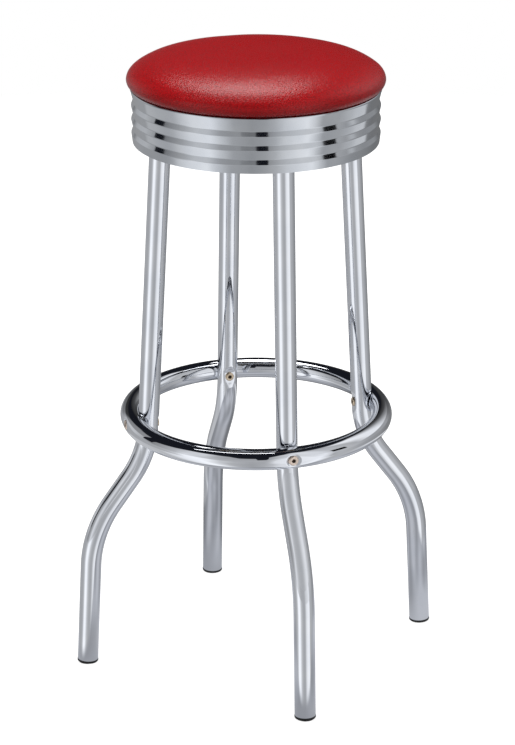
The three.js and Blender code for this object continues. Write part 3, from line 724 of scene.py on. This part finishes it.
def bandShape():
    # a grid whose one way runs round the axis and whose other way climbs the ribbed outline
    tree, given = newShape("ribbedBand", {**socketKinds(bandSizes), "material": "Material"})
    add = partial(addNode, tree)
    turnRows = 3  # rows across the hem and across the flange
    step = add("Math DIVIDE", given["ribPitch"], given["stepsPerRib"])
    rowsBelow = add("Math CEIL", add("Math DIVIDE", add("Math SUBTRACT", given["lowestCrest"],
        given["bottom"]), step))
    rowsAbove = add("Math CEIL", add("Math DIVIDE", add("Math SUBTRACT", given["top"], given["lowestCrest"]),
        step))
    rows = add("Math ADD", add("Math ADD", rowsBelow, rowsAbove), 2 * turnRows + 1)
    grid = add("GeometryNodeMeshGrid", {"Size X": 1.0, "Size Y": add("Math SUBTRACT", rows, 1),
        "Vertices X": add("Math ADD", given["around"], 1), "Vertices Y": rows})
    split = add("SeparateXYZ", add("GeometryNodeInputPosition")).node.outputs
    row = add("Math ROUND", add("Math ADD", split[1], add("Math MULTIPLY", add("Math SUBTRACT", rows, 1),
        0.5)))
    row = add("Math SUBTRACT", row, turnRows)
    climb = add("Math MULTIPLY", add("Math SUBTRACT", row, rowsBelow), step)
    height = add("Math ADD", given["lowestCrest"], climb)
    height = add("Math MINIMUM", add("Math MAXIMUM", height, given["bottom"]), given["top"])
    # ribs: from each crest the sheet steps in to a notch and widens again up to the next crest
    ribPlace = add("Math DIVIDE", add("Math SUBTRACT", height, given["lowestCrest"]), given["ribPitch"])
    phase = add("Math FRACT", add("Math ADD", ribPlace, 10))
    stepShare = add("Math DIVIDE", given["stepHeight"], given["ribPitch"])
    stepping = add("Math DIVIDE", phase, stepShare)
    widening = add("Math DIVIDE", add("Math SUBTRACT", 1, phase), add("Math SUBTRACT", 1, stepShare))
    cut = add("Math MULTIPLY", add("Math MINIMUM", stepping, widening), given["ribDepth"])
    # above the last notch the sheet flares straight out to the lip
    lastNotch = add("Math MULTIPLY_ADD", add("Math ADD", add("Math SUBTRACT", given["ribs"], 1), stepShare),
        given["ribPitch"], given["lowestCrest"])
    lipStart = add("Math SUBTRACT", given["top"], given["lipRound"])
    flare = add("MapRange", height, lastNotch, lipStart, add("Math MULTIPLY", given["ribDepth"], -1),
        given["lipFlare"])
    taper = add("MapRange", height, given["bottom"], given["lowestCrest"],
        add("Math MULTIPLY", given["skirtTaper"], -1), 0.0)
    inRibs = add("Math MULTIPLY", add("Math LESS_THAN", height, lastNotch), add("Math GREATER_THAN", height,
        given["lowestCrest"]))
    ribbed = add("Math MULTIPLY", add("Math MULTIPLY", cut, -1), inRibs)
    topFace = add("Math MULTIPLY", flare, add("Math SUBTRACT", 1, add("Math LESS_THAN", height, lastNotch)))
    # rounded lip, its flange over the hoop, and the hem
    over = add("MapRange", height, lipStart, given["top"], 0.0, 1.0)
    fall = add("Math SQRT", add("Math MAXIMUM", add("Math SUBTRACT", 1, add("Math MULTIPLY", over, over)), 0))
    rounded = add("Math MULTIPLY", add("Math SUBTRACT", 1, fall), given["lipRound"])
    flange = add("MapRange", add("Math SUBTRACT", row, add("Math ADD", rowsBelow, rowsAbove)), 0.0,
        float(turnRows), 0.0, given["flange"])
    hem = add("MapRange", add("Math MULTIPLY", row, -1), 0.0, float(turnRows), 0.0, given["hem"])
    radius = given["crestRadius"]
    for widened in (ribbed, topFace, taper):
        radius = add("Math ADD", radius, widened)
    for inset in (rounded, flange, hem):
        radius = add("Math SUBTRACT", radius, inset)
    angle = add("Math MULTIPLY", add("Math ADD", split[0], 0.5), 2 * math.pi)
    point = add("CombineXYZ", add("Math MULTIPLY", radius, add("Math COSINE", angle)),
        add("Math MULTIPLY", radius, add("Math SINE", angle)), height)
    bent = add("GeometryNodeSetPosition", {"Geometry": grid, "Position": point})
    closed = add("GeometryNodeMergeByDistance", {"Geometry": bent, "Distance": 0.000005})
    endShape(tree, closed, given["material"])
    return tree


def makeBand():
    band = grow("ribbedBand", bandShape(), {**bandSizes, "material": chromedSheet}, wall=bandSheet,
        sharpAngle=50)
    place(band, "seat", "chrome_band", "seat_band")


makeBand()
print("stool: ribbed band made")


# swivel, hoop and board

swivelSizes = {"side": 0.152, "corner": 0.014, "thickness": 0.003, "lower": 0.7121, "upper": 0.7210,
               "edge": 0.0006, "rivetBore": 0.0070, "rivetShank": 0.0100, "rivetRim": 0.0160,
               "rivetGap": 0.0003}
hoopOutline = [(0.1248, 0.7201), (0.1251, 0.7197), (0.1432, 0.7197), (0.1436, 0.7200), (0.1436, 0.7210),
               (0.1433, 0.7212), (0.1251, 0.7212), (0.1248, 0.7209)]


def plateMesh(name, bottom):
    # rounded square plate with softened edges
    s = swivelSizes
    inner = s["side"] / 2 - s["corner"]
    outline = []
    for quarter in range(4):
        middle = Matrix.Rotation(quarter * math.pi / 2, 2) @ Vector((inner, inner))
        for i in range(13):
            angle = quarter * math.pi / 2 + math.pi / 2 * i / 12
            outline.append((middle.x + s["corner"] * math.cos(angle),
                middle.y + s["corner"] * math.sin(angle)))
    edge, top = s["edge"], bottom + s["thickness"]
    levels = [(edge, bottom), (edge * 0.3, bottom + edge * 0.3), (0, bottom + edge), (0, top - edge),
              (edge * 0.3, top - edge * 0.3), (edge, top)]
    points, faces = [], []
    for inset, height in levels:
        share = 1 - inset / (s["side"] / 2)
        points += [(x * share, y * share, height) for x, y in outline]
    count = len(outline)
    for level in range(len(levels) - 1):
        for i in range(count):
            j = (i + 1) % count
            first = level * count
            faces.append([first + i, first + j, first + count + j, first + count + i])
    faces.append(list(range(count))[::-1])
    faces.append(list(range((len(levels) - 1) * count, len(levels) * count)))
    return shade(newMesh(name, points, faces))


def makeSwivel():
    s = swivelSizes
    for name, bottom, body, node in (("swivelLowerPlate", s["lower"], "frame", "swivel_lower_plate"),
                                     ("swivelUpperPlate", s["upper"], "seat", "swivel_upper_plate")):
        plate = newPiece(name, plateMesh(name, bottom))
        plate.data.materials.append(zincPlate)
        place(plate, body, "zinc_plate", node)
    low, high = s["lower"] - s["rivetGap"], s["upper"] + s["thickness"] + s["rivetGap"]
    bore, shank, rim = s["rivetBore"], s["rivetShank"], s["rivetRim"]
    rivet = newPiece("swivelRivet", turnedMesh("swivelRivet",
        [(bore, low - 0.0006), (bore + 0.0004, low - 0.0012), (bore + 0.0015, low - 0.0015),
        (rim - 0.0030, low - 0.0015), (rim - 0.0010, low - 0.0012), (rim - 0.0002, low - 0.0007), (rim, low),
        (shank, low), (shank, high), (rim, high), (rim - 0.0002, high + 0.0008),
        (rim - 0.0010, high + 0.0013), (bore + 0.0015, high + 0.0015), (bore, high + 0.0008)]))
    rivet.data.materials.append(zincFastener)
    place(rivet, "frame", "zinc_plate", "swivel_rivet")
    hoop = newPiece("bandHoop", turnedMesh("bandHoop", hoopOutline, steps=160))
    hoop.data.materials.append(zincPlate)
    place(hoop, "seat", "zinc_plate", "band_hoop")


makeSwivel()
for node, material in (("seat_board", birchPlywood), ("ball_cage", brassPlate)):
    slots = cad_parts[node].material_slots
    for i in range(len(slots)):
        slots[i].material = material
print("stool: swivel and board made")


# cushion

cushionSizes = {
    "radius": 0.1528, "rim": 0.7321, "rise": 0.0299, "spreadPower": 3.48, "risePower": 1.84,
    "boardRadius": 0.1448, "tuckHeight": 0.7228, "tuckReach": 0.0100, "cover": 0.0012,
    "innerRadius": 0.112, "innerCells": 54, "ringSpacing": 0.0040, "rollSpacing": 0.0018,
    "startInset": 0.0012, "mostMove": 0.0025, "pressure": 4.0, "frames": 20,
    "foamGap": 0.0012, "foamFoot": 0.7273, "boardTop": 0.7366, "boardRim": 0.1451,
    "crownSteps": 600, "tuckSteps": 100,
    "evening": 16,         # rounds of averaging that take the creases out of a taut cover
    "uneven": 0.25,        # share of the unevenness that is left
    "gather": 0.00035,     # how far the gathers stand out where the vinyl turns under
}


def cushionOutline():
    # from the middle of the crown down to the inner end of the tuck
    s = cushionSizes
    points = []
    for i in range(s["crownSteps"]):
        angle = math.pi / 2 * (1 - i / s["crownSteps"])
        points.append((s["radius"] * math.cos(angle) ** (2 / s["spreadPower"]),
                       s["rim"] + s["rise"] * math.sin(angle) ** (2 / s["risePower"])))
    points[0] = (0, s["rim"] + s["rise"])
    for i in range(s["tuckSteps"] + 1):
        angle = math.pi / 2 * (1 - i / s["tuckSteps"])
        points.append((s["boardRadius"] + (s["radius"] - s["boardRadius"]) * math.sin(angle),
                       s["rim"] - (s["rim"] - s["tuckHeight"]) * math.cos(angle)))
    points.append((s["boardRadius"] - s["tuckReach"], s["tuckHeight"]))
    lengths = [0]
    for a, b in zip(points, points[1:]):
        lengths.append(lengths[-1] + math.dist(a, b))
    return points, lengths


def pointAt(outline, length):
    points, lengths = outline
    low, high = 0, len(lengths) - 1
    while high - low > 1:
        middle = (low + high) // 2
        low, high = (middle, high) if lengths[middle] <= length else (low, middle)
    share = (length - lengths[low]) / max(lengths[high] - lengths[low], 1e-9)
    share = min(max(share, 0), 1)
    return tuple(a + (b - a) * share for a, b in zip(points[low], points[high]))


def cushionMesh(inset):
    # even squares over the crown and rings from there down the roll and under the board
    s = cushionSizes
    outline = cushionOutline()
    points, lengths = outline
    rimLength = lengths[s["crownSteps"]]
    tuckLength = lengths[s["crownSteps"] + s["tuckSteps"]]
    innerLength = next(l for p, l in zip(points, lengths) if p[0] >= s["innerRadius"])
    cells = s["innerCells"]
    around = 4 * cells
    marks = []
    for start, end, count in ((innerLength, rimLength, round((rimLength - innerLength) / s["ringSpacing"])),
                              (rimLength, tuckLength, round((tuckLength - rimLength) / s["rollSpacing"])),
                              (tuckLength, lengths[-1], 3)):
        marks += [start + (end - start) * (i / count) for i in range(1, count + 1)]

    spots = []  # (length down the outline, turn)
    side = [math.sqrt(2) * math.sin(math.pi / 4 * (2 * i / cells - 1)) for i in range(cells + 1)]
    for v in side:
        for u in side:
            x, y = u * math.sqrt(max(1 - v * v / 2, 0)), v * math.sqrt(max(1 - u * u / 2, 0))
            spots.append((min(math.hypot(x, y), 1) * innerLength, math.atan2(y, x)))
    faces = []
    for j in range(cells):
        for i in range(cells):
            a = j * (cells + 1) + i
            faces.append([a, a + 1, a + cells + 2, a + cells + 1])
    width = cells + 1
    loop = [i for i in range(cells)] + [cells + j * width for j in range(cells)]
    loop += [cells * width + cells - i for i in range(cells)] + [(cells - j) * width for j in range(cells)]
    turns = [spots[k][1] for k in loop]
    last = loop
    for mark in marks:
        ring = list(range(len(spots), len(spots) + around))
        spots += [(mark, turn) for turn in turns]
        for i in range(around):
            j = (i + 1) % around
            faces.append([last[j], last[i], ring[i], ring[j]])
        last = ring
    places = []
    for length, turn in spots:
        radius, height = pointAt(outline, length)
        share = min(max((length - rimLength * 0.96) / (tuckLength - rimLength * 0.96), 0), 1)
        wave = math.sin(31 * turn) * 0.4 + math.sin(47 * turn + 1.1) * 0.35 + math.sin(73 * turn + 2.3) * 0.25
        ripple = s["gather"] * wave * math.sin(math.pi * share) * share
        radius = max(radius - inset * min(radius / 0.02, 1) + ripple, 0)
        places.append((radius * math.cos(turn), radius * math.sin(turn),
                       height - (inset if length < rimLength else 0)))
    mesh = newMesh("seatCushion", places, faces)
    pinned = [i for i, (length, turn) in enumerate(spots) if length > tuckLength - 0.001]
    return mesh, [length for length, turn in spots], pinned


def stuff(piece, pinned):
    # the cover swells over its pad while its tuck is held
    s = cushionSizes
    start = [vertex.co.copy() for vertex in piece.data.vertices]
    piece.vertex_groups.new(name="tuck").add(pinned, 1, "REPLACE")
    modifier = piece.modifiers.new("stuffing", "CLOTH")
    settings = modifier.settings
    settings.quality = 7
    settings.mass = 0.35
    settings.tension_stiffness = 25
    settings.compression_stiffness = 20
    settings.shear_stiffness = 8
    settings.bending_stiffness = 1.5
    settings.use_pressure = True
    settings.uniform_pressure_force = s["pressure"]
    settings.effector_weights.gravity = 0
    settings.vertex_group_mass = "tuck"
    modifier.point_cache.frame_start = 1
    modifier.point_cache.frame_end = s["frames"]
    for step in range(1, s["frames"] + 1):
        scene.frame_set(step)
    shown = piece.evaluated_get(bpy.context.evaluated_depsgraph_get())
    swollen = [vertex.co.copy() for vertex in shown.data.vertices]
    piece.modifiers.remove(modifier)
    scene.frame_set(1)
    moves = [after - before for before, after in zip(start, swollen)]
    near = [[] for _ in moves]
    for edge in piece.data.edges:
        a, b = edge.vertices
        near[a].append(b)
        near[b].append(a)
    for _ in range(s["evening"]):
        moves = [(move + sum((moves[k] for k in around), Vector())) / (1 + len(around))
                 for move, around in zip(moves, near)]
    for vertex, before, move in zip(piece.data.vertices, start, moves):
        vertex.co = before + move * min(1, s["mostMove"] / max(move.length, 1e-9))


def settle(piece, lengths):
    # keeps a share of the swelling's unevenness, and its average lies on the measured outline
    outline = cushionOutline()
    bins = {}
    for vertex, length in zip(piece.data.vertices, lengths):
        bins.setdefault(round(length / 0.003), []).append((vertex, *pointAt(outline, length)))
    for members in bins.values():
        gaps = [(math.hypot(v.co.x, v.co.y) - radius, v.co.z - height) for v, radius, height in members]
        meanOut, meanUp = (sum(gap[k] for gap in gaps) / len(gaps) for k in (0, 1))
        for (vertex, radius, height), (out, up) in zip(members, gaps):
            turn = math.atan2(vertex.co.y, vertex.co.x)
            radius = max(radius + cushionSizes["uneven"] * (out - meanOut), 0)
            vertex.co = (radius * math.cos(turn), radius * math.sin(turn),
                         height + cushionSizes["uneven"] * (up - meanUp))


def makeCushion():
    s = cushionSizes
    mesh, lengths, pinned = cushionMesh(s["startInset"])
    cushion = newPiece("seatCushion", mesh)
    stuff(cushion, pinned)
    settle(cushion, lengths)
    print("stool: cushion stuffed")
    shade(cushion.data, 80)
    cushion.data.materials.append(embossedVinyl)
    smooth = cushion.modifiers.new("smooth", "SUBSURF")
    smooth.levels = smooth.render_levels = 1
    cover = cushion.modifiers.new("cover", "SOLIDIFY")
    cover.thickness = s["cover"]
    cover.offset = -1
    place(cushion, "seat", "red_vinyl", "seat_cover")


def makeFoam():
    # moulded pad between the cover and the board
    s = cushionSizes
    gap = s["cover"] + s["foamGap"]
    rows = [(0, s["boardTop"]), (s["boardRim"], s["boardTop"]), (s["boardRim"], s["foamFoot"]),
            (s["radius"] - gap - 0.0020, s["foamFoot"])]
    for i in range(25):
        angle = math.pi / 2 * i / 24
        rows.append(((s["radius"] - gap) * math.cos(angle) ** (2 / s["spreadPower"]) if i < 24 else 0,
                     s["rim"] + (s["rise"] - gap) * math.sin(angle) ** (2 / s["risePower"])))
    foam = newPiece("foamPad", turnedMesh("foamPad", rows, steps=96))
    foam.data.materials.append(yellowedFoam)
    place(foam, "seat", "seat_foam", "seat_foam")


makeCushion()
makeFoam()
print("stool: cushion made")


# studio: floor, room seen in the chrome, lamps and camera

studio = {
    "floorRadius": 2.7,
    "lampSpot": (-0.12, 0.77, 2.15), "lampSize": (0.84, 0.84), "lampPower": 12.2,
    "stripSpot": (-0.42, -0.20, 2.15), "stripSize": (1.40, 0.09), "stripPower": 1.6,
    "fillPower": 10.2, "sidePower": 5.6,
    "cardHeight": 0.29, "cardRadii": (0.172, 1.35), "cardTurns": (-35, 80),
    "ambient": 0.42,
    "fillSpot": (0, 0, 2.7), "fillSize": (1.2, 1.2), "sideSize": (0.9, 0.9),
    "leftSpot": (-1.7, -1.1, 1.3), "rightSpot": (1.3, -1.5, 1.3),
    # the elevations where a zone gives way to the next one up, in degrees, and half the blend's width
    "zoneEdges": [(-26, 0.7), (-5, 1), (12, 1.5)],
    "wallSoftness": 0.03,
    # the dark opening's middle is openingRise * cos(half the azimuth) - openingDrop, all in radians
    "openingRise": 0.76, "openingDrop": 0.36, "openingHalf": 0.14,
    "glowRadii": (0.55, 1.3), "paperSpot": (0.10, 0.12, 0), "paperRadii": (0.38, 0.43),
    "lens": 132.29, "cameraSpot": (0.0017, -3.1273, 1.5449), "cameraTilt": 20.732,
}
# brightness of what the chrome reflects, by degrees to the right of the camera as seen from the stool,
# in four zones: the walls' upper and lower parts, the floor far off, and the floor steeply below
highTones = [(-180, 0.02), (-150, 0.05), (-143, 0.28), (-130, 0.31), (-106, 0.34), (-92, 0.31), (-76, 0.50),
    (-68, 0.64), (-58, 0.82), (-46, 0.84), (-34, 0.52), (-24, 0.45), (-4, 0.45), (14, 0.46), (22, 0.62),
    (32, 0.78), (44, 0.90), (58, 0.88), (66, 0.64), (81, 0.58), (92, 0.50), (100, 0.80), (110, 1.05),
    (128, 1.05), (140, 0.72), (152, 0.35), (166, 0.08), (180, 0.02)]
lowTones = [(-180, 0.04), (-150, 0.24), (-140, 0.56), (-130, 0.66), (-120, 0.68), (-106, 0.50), (-94, 0.30),
    (-80, 0.44), (-70, 0.58), (-60, 0.90), (-50, 0.83), (-38, 0.64), (-28, 0.52), (-8, 0.50), (10, 0.52),
    (20, 0.74), (40, 0.90), (58, 1.05), (67, 0.60), (90, 0.56), (104, 0.46), (115, 0.42), (136, 0.42),
    (150, 0.20), (166, 0.06), (180, 0.03)]
farTones = [(-180, 0.28), (-161, 0.38), (-140, 0.47), (-120, 0.47), (-100, 0.47), (-88, 0.49), (-78, 0.58),
    (-70, 0.74), (-62, 1.15), (-50, 1.24), (-40, 1.10), (-30, 0.74), (-18, 0.56), (-4, 0.48), (8, 0.50),
    (14, 0.62), (22, 0.92), (36, 1.08), (54, 1.14), (61, 0.86), (66, 0.50), (74, 0.56), (88, 0.50),
    (104, 0.41), (125, 0.34), (140, 0.26), (160, 0.22), (180, 0.16)]
steepTones = [(-180, 0.35), (-161, 0.64), (-140, 0.63), (-121, 0.64), (-100, 0.60), (-92, 0.64), (-82, 0.86),
    (-70, 1.08), (-48, 1.24), (-38, 0.92), (-24, 0.56), (-4, 0.46), (10, 0.53), (20, 0.66), (30, 0.92),
    (40, 1.06), (55, 1.22), (62, 1.00), (72, 0.54), (92, 0.55), (108, 0.72), (115, 0.84), (136, 0.88),
    (156, 0.70), (168, 0.28), (180, 0.15)]
# the walls' height in degrees over 90, with two openings, and a dark opening part way up
wallTops = [(-180, 0.20), (-148, 0.26), (-134, 0.35), (-107, 0.34), (-106, 0.03), (-94, 0.03), (-93, 0.20),
    (-78, 0.33), (-65, 0.44), (-42, 0.48), (-24, 0.43), (-14, 0.31), (0, 0.31), (1, 0.15), (11, 0.15),
    (12, 0.42), (26, 0.57), (48, 0.72), (88, 0.70), (119, 0.62), (146, 0.53), (160, 0.40), (180, 0.25)]
wallGaps = [(-180, 0), (65, 0), (66, 1), (79, 1), (80, 0)]
cardTones = [(-180, 0.60), (-80, 0.62), (-62, 0.86), (-50, 0.92), (-38, 0.70), (-24, 0.56), (-4, 0.52),
    (12, 0.54), (24, 0.66), (36, 0.84), (50, 0.96), (62, 0.88), (76, 0.66), (100, 0.60), (180, 0.60)]


def toneRamp(tree, azimuth, tones, tint):
    # a ramp round the horizon
    share = addNode(tree, "MapRange", azimuth, -math.pi, math.pi)
    ramp = addNode(tree, "ValToRGB", share)
    points = ramp.node.color_ramp.elements
    while len(points) < len(tones):
        points.new(0.5)
    for point, (degrees, tone) in zip(points, tones):
        point.position = (degrees + 180) / 360
        point.color = [tone * c for c in tint] + [1]
    return ramp


def photoAzimuthOf(tree, vector):
    add = partial(addNode, tree)
    turned = add("VectorRotate", {"Vector": vector, "Angle": -photoAzimuth}, rotation_type="Z_AXIS")
    split = add("SeparateXYZ", turned).node.outputs
    return add("Math ARCTAN2", split[0], add("Math MULTIPLY", split[1], -1)), split


def inPhotoFrame(right, away, up):
    # a place given right of, away from and above the camera's view of the axis
    return Matrix.Rotation(photoAzimuth, 3, "Z") @ Vector((right, away, up))


def makeRoom():
    world = bpy.data.worlds.new("studioRoom")
    scene.world = world
    tree = emptyTree(world)
    add = partial(addNode, tree)
    path = add("LightPath").node.outputs
    direction = add("TexCoord", out="Generated")
    azimuth, split = photoAzimuthOf(tree, direction)
    high, low, far, steep = (toneRamp(tree, azimuth, tones, (0.97, 0.98, 1.0))
                             for tones in (highTones, lowTones, farTones, steepTones))

    def above(degrees, blend):
        # nothing below an elevation and one above it
        return add("MapRange", split[2], math.sin(math.radians(degrees - blend)),
            math.sin(math.radians(degrees + blend)), 0.0, 1.0, interpolation_type="SMOOTHSTEP")

    gaps, tops = (add("SeparateColor", toneRamp(tree, azimuth, tones, (1, 1, 1)))
                  for tones in (wallGaps, wallTops))
    # the opening stands where the band's upward faces look, which is lower to the sides
    middle = add("Math SUBTRACT", add("Math MULTIPLY", add("Math COSINE", add("Math MULTIPLY", azimuth, 0.5)),
        studio["openingRise"]), studio["openingDrop"])
    off = add("Math ABSOLUTE", add("Math SUBTRACT", add("Math ARCSINE", split[2]), middle))
    gaps = add("Math MULTIPLY", gaps, add("Math LESS_THAN", off, studio["openingHalf"]))
    over = add("Math SUBTRACT", split[2], add("Math SINE", add("Math MULTIPLY", tops, math.pi / 2)))
    # the walls' upper edge is soft, and above it the room is dark
    overWall = add("MapRange", over, -studio["wallSoftness"], studio["wallSoftness"], 0.0, 1.0,
        interpolation_type="SMOOTHSTEP")
    room = steep
    for edge, zone in zip(studio["zoneEdges"], (far, low, high)):
        room = add("Mix", {0: above(*edge), 6: room, 7: zone}, out=2, data_type="RGBA")
    room = add("Mix", {0: gaps, 6: room, 7: (0.004, 0.004, 0.005, 1)}, out=2, data_type="RGBA")
    room = add("Mix", {0: overWall, 6: room, 7: (0.01, 0.011, 0.016, 1)}, out=2, data_type="RGBA")
    mirrored = add("Math MAXIMUM", path["Is Glossy Ray"], path["Is Transmission Ray"])
    seen = add("Mix", {0: mirrored, 6: (studio["ambient"],) * 3 + (1,), 7: room}, out=2, data_type="RGBA")
    shown = add("Mix", {0: path["Is Camera Ray"], 6: seen, 7: (1, 1, 1, 1)}, out=2, data_type="RGBA")
    background = add("Background", {"Color": shown, "Strength": 1.0})
    add("OutputWorld", {"Surface": background})


def makeFloor():
    mesh = bpy.data.meshes.new("studioFloor")
    form = bmesh.new()
    bmesh.ops.create_circle(form, cap_ends=True, segments=128, radius=studio["floorRadius"])
    form.to_mesh(mesh)
    form.free()
    floor = newPiece("studioFloor", mesh)
    material = bpy.data.materials.new("paintedStudioFloor")
    tree = emptyTree(material)
    add = partial(addNode, tree)
    path = add("LightPath").node.outputs
    where = add("TexCoord", out="Object")
    reach = add("VectorMath LENGTH", where, out=1)
    far = add("MapRange", reach, studio["glowRadii"][0], studio["glowRadii"][1], 0.8, 1.0,
        interpolation_type="SMOOTHSTEP")
    paint = add("BsdfDiffuse", {"Color": (0.55, 0.55, 0.55, 1)})
    glowSeen = add("Emission", {"Color": (1, 1, 1, 1), "Strength": far})
    lit = add("AddShader", paint, glowSeen)
    # in the chrome the floor is pale paper under and behind the stool, and elsewhere the room's tones
    clear = add("BsdfTransparent")
    # the paper darkens towards its far edge, and its waves become upright streaks in the shins
    away = add("VectorMath DOT_PRODUCT", where, inPhotoFrame(0, 1, 0), out=1)
    waves = add("MapRange", add("TexNoise", {"Vector": where, "Scale": 5.5, "Detail": 0}), 0.34, 0.66, 0.76,
        1.22)
    shaded = add("Math MULTIPLY", waves, add("MapRange", away, 0.16, 0.4, 1, 0.4))
    paper = add("Emission", {"Color": (0.48, 0.49, 0.52, 1), "Strength": shaded})
    fromPaper = add("VectorMath DISTANCE", where, inPhotoFrame(*studio["paperSpot"]), out=1)
    beyond = add("MapRange", fromPaper, studio["paperRadii"][0], studio["paperRadii"][1], 0.0, 1.0,
        interpolation_type="SMOOTHSTEP")
    mirrored = add("MixShader", beyond, paper, clear)
    plainPaint = add("BsdfDiffuse", {"Color": (0.14, 0.14, 0.145, 1)})
    bounced = add("MixShader", add("Math MAXIMUM", path["Is Glossy Ray"], path["Is Transmission Ray"]),
        plainPaint, mirrored)
    top = add("MixShader", path["Is Camera Ray"], bounced, lit)
    # seen from below, the floor isn't there
    under = add("NewGeometry", out="Backfacing")
    both = add("MixShader", under, top, clear)
    add("OutputMaterial", {"Surface": both})
    mesh.materials.append(material)


def makeCard():
    # a pale card held under the foot ring's level, which only the bends of the front leg mirror
    low, high = (math.radians(turn) for turn in studio["cardTurns"])
    points = []
    for i in range(25):
        turn = low + (high - low) * i / 24
        points += [inPhotoFrame(radius * math.sin(turn), -radius * math.cos(turn), studio["cardHeight"])
                   for radius in studio["cardRadii"]]
    mesh = newMesh("lowCard", points, [(2 * i, 2 * i + 2, 2 * i + 3, 2 * i + 1) for i in range(24)])
    card = newPiece("lowCard", mesh)
    material = bpy.data.materials.new("paleCard")
    tree = emptyTree(material)
    add = partial(addNode, tree)
    where = add("TexCoord", out="Object")
    fromLeg = add("VectorMath SUBTRACT", where, (0, -legSizes["corners"][2][0], 0))
    tone = toneRamp(tree, photoAzimuthOf(tree, fromLeg)[0], cardTones, (0.97, 0.98, 1.0))
    glow = add("Emission", {"Color": tone, "Strength": 1.0})
    clear = add("BsdfTransparent")
    under = add("NewGeometry", out="Backfacing")
    both = add("MixShader", under, glow, clear)
    add("OutputMaterial", {"Surface": both})
    mesh.materials.append(material)
    for kind in ("camera", "diffuse", "transmission", "shadow"):
        setattr(card, "visible_" + kind, False)


def makeLamp(name, spot, target, size, power, mirrored, turn=None):
    lamp = bpy.data.lights.new(name, "AREA")
    lamp.shape = "RECTANGLE"
    lamp.size, lamp.size_y = size
    lamp.energy = power
    piece = newPiece(name, lamp)
    piece.location = spot
    aim = (Vector(target) - Vector(spot)).to_track_quat("-Z", "Y").to_euler()
    piece.rotation_euler = aim if turn is None else (0, 0, turn)
    piece.visible_camera = False
    piece.visible_glossy = mirrored
    return piece


def makeCamera():
    camera = bpy.data.cameras.new("photoCamera")
    camera.lens = studio["lens"]
    camera.sensor_width = 36
    piece = newPiece("photoCamera", camera)
    piece.location = inPhotoFrame(*studio["cameraSpot"])
    piece.rotation_euler = (math.radians(90 - studio["cameraTilt"]), 0, photoAzimuth)
    scene.camera = piece


makeRoom()
makeFloor()
makeCard()
makeLamp("overheadSoftbox", inPhotoFrame(*studio["lampSpot"]), (0, 0, 0.75),
         studio["lampSize"], studio["lampPower"], True)
stripSpot = inPhotoFrame(*studio["stripSpot"])
makeLamp("narrowSoftbox", stripSpot, stripSpot - Vector((0, 0, 1)), studio["stripSize"], studio["stripPower"],
    True, photoAzimuth)
makeLamp("topFill", studio["fillSpot"], (0, 0, 0), studio["fillSize"], studio["fillPower"], False,
    photoAzimuth)
for name, spot in (("leftSoftbox", studio["leftSpot"]), ("rightSoftbox", studio["rightSpot"])):
    makeLamp(name, inPhotoFrame(*spot), (0, 0, 0.5), studio["sideSize"], studio["sidePower"], False)
makeCamera()
scene.view_settings.view_transform = "Standard"
print("stool: studio made")
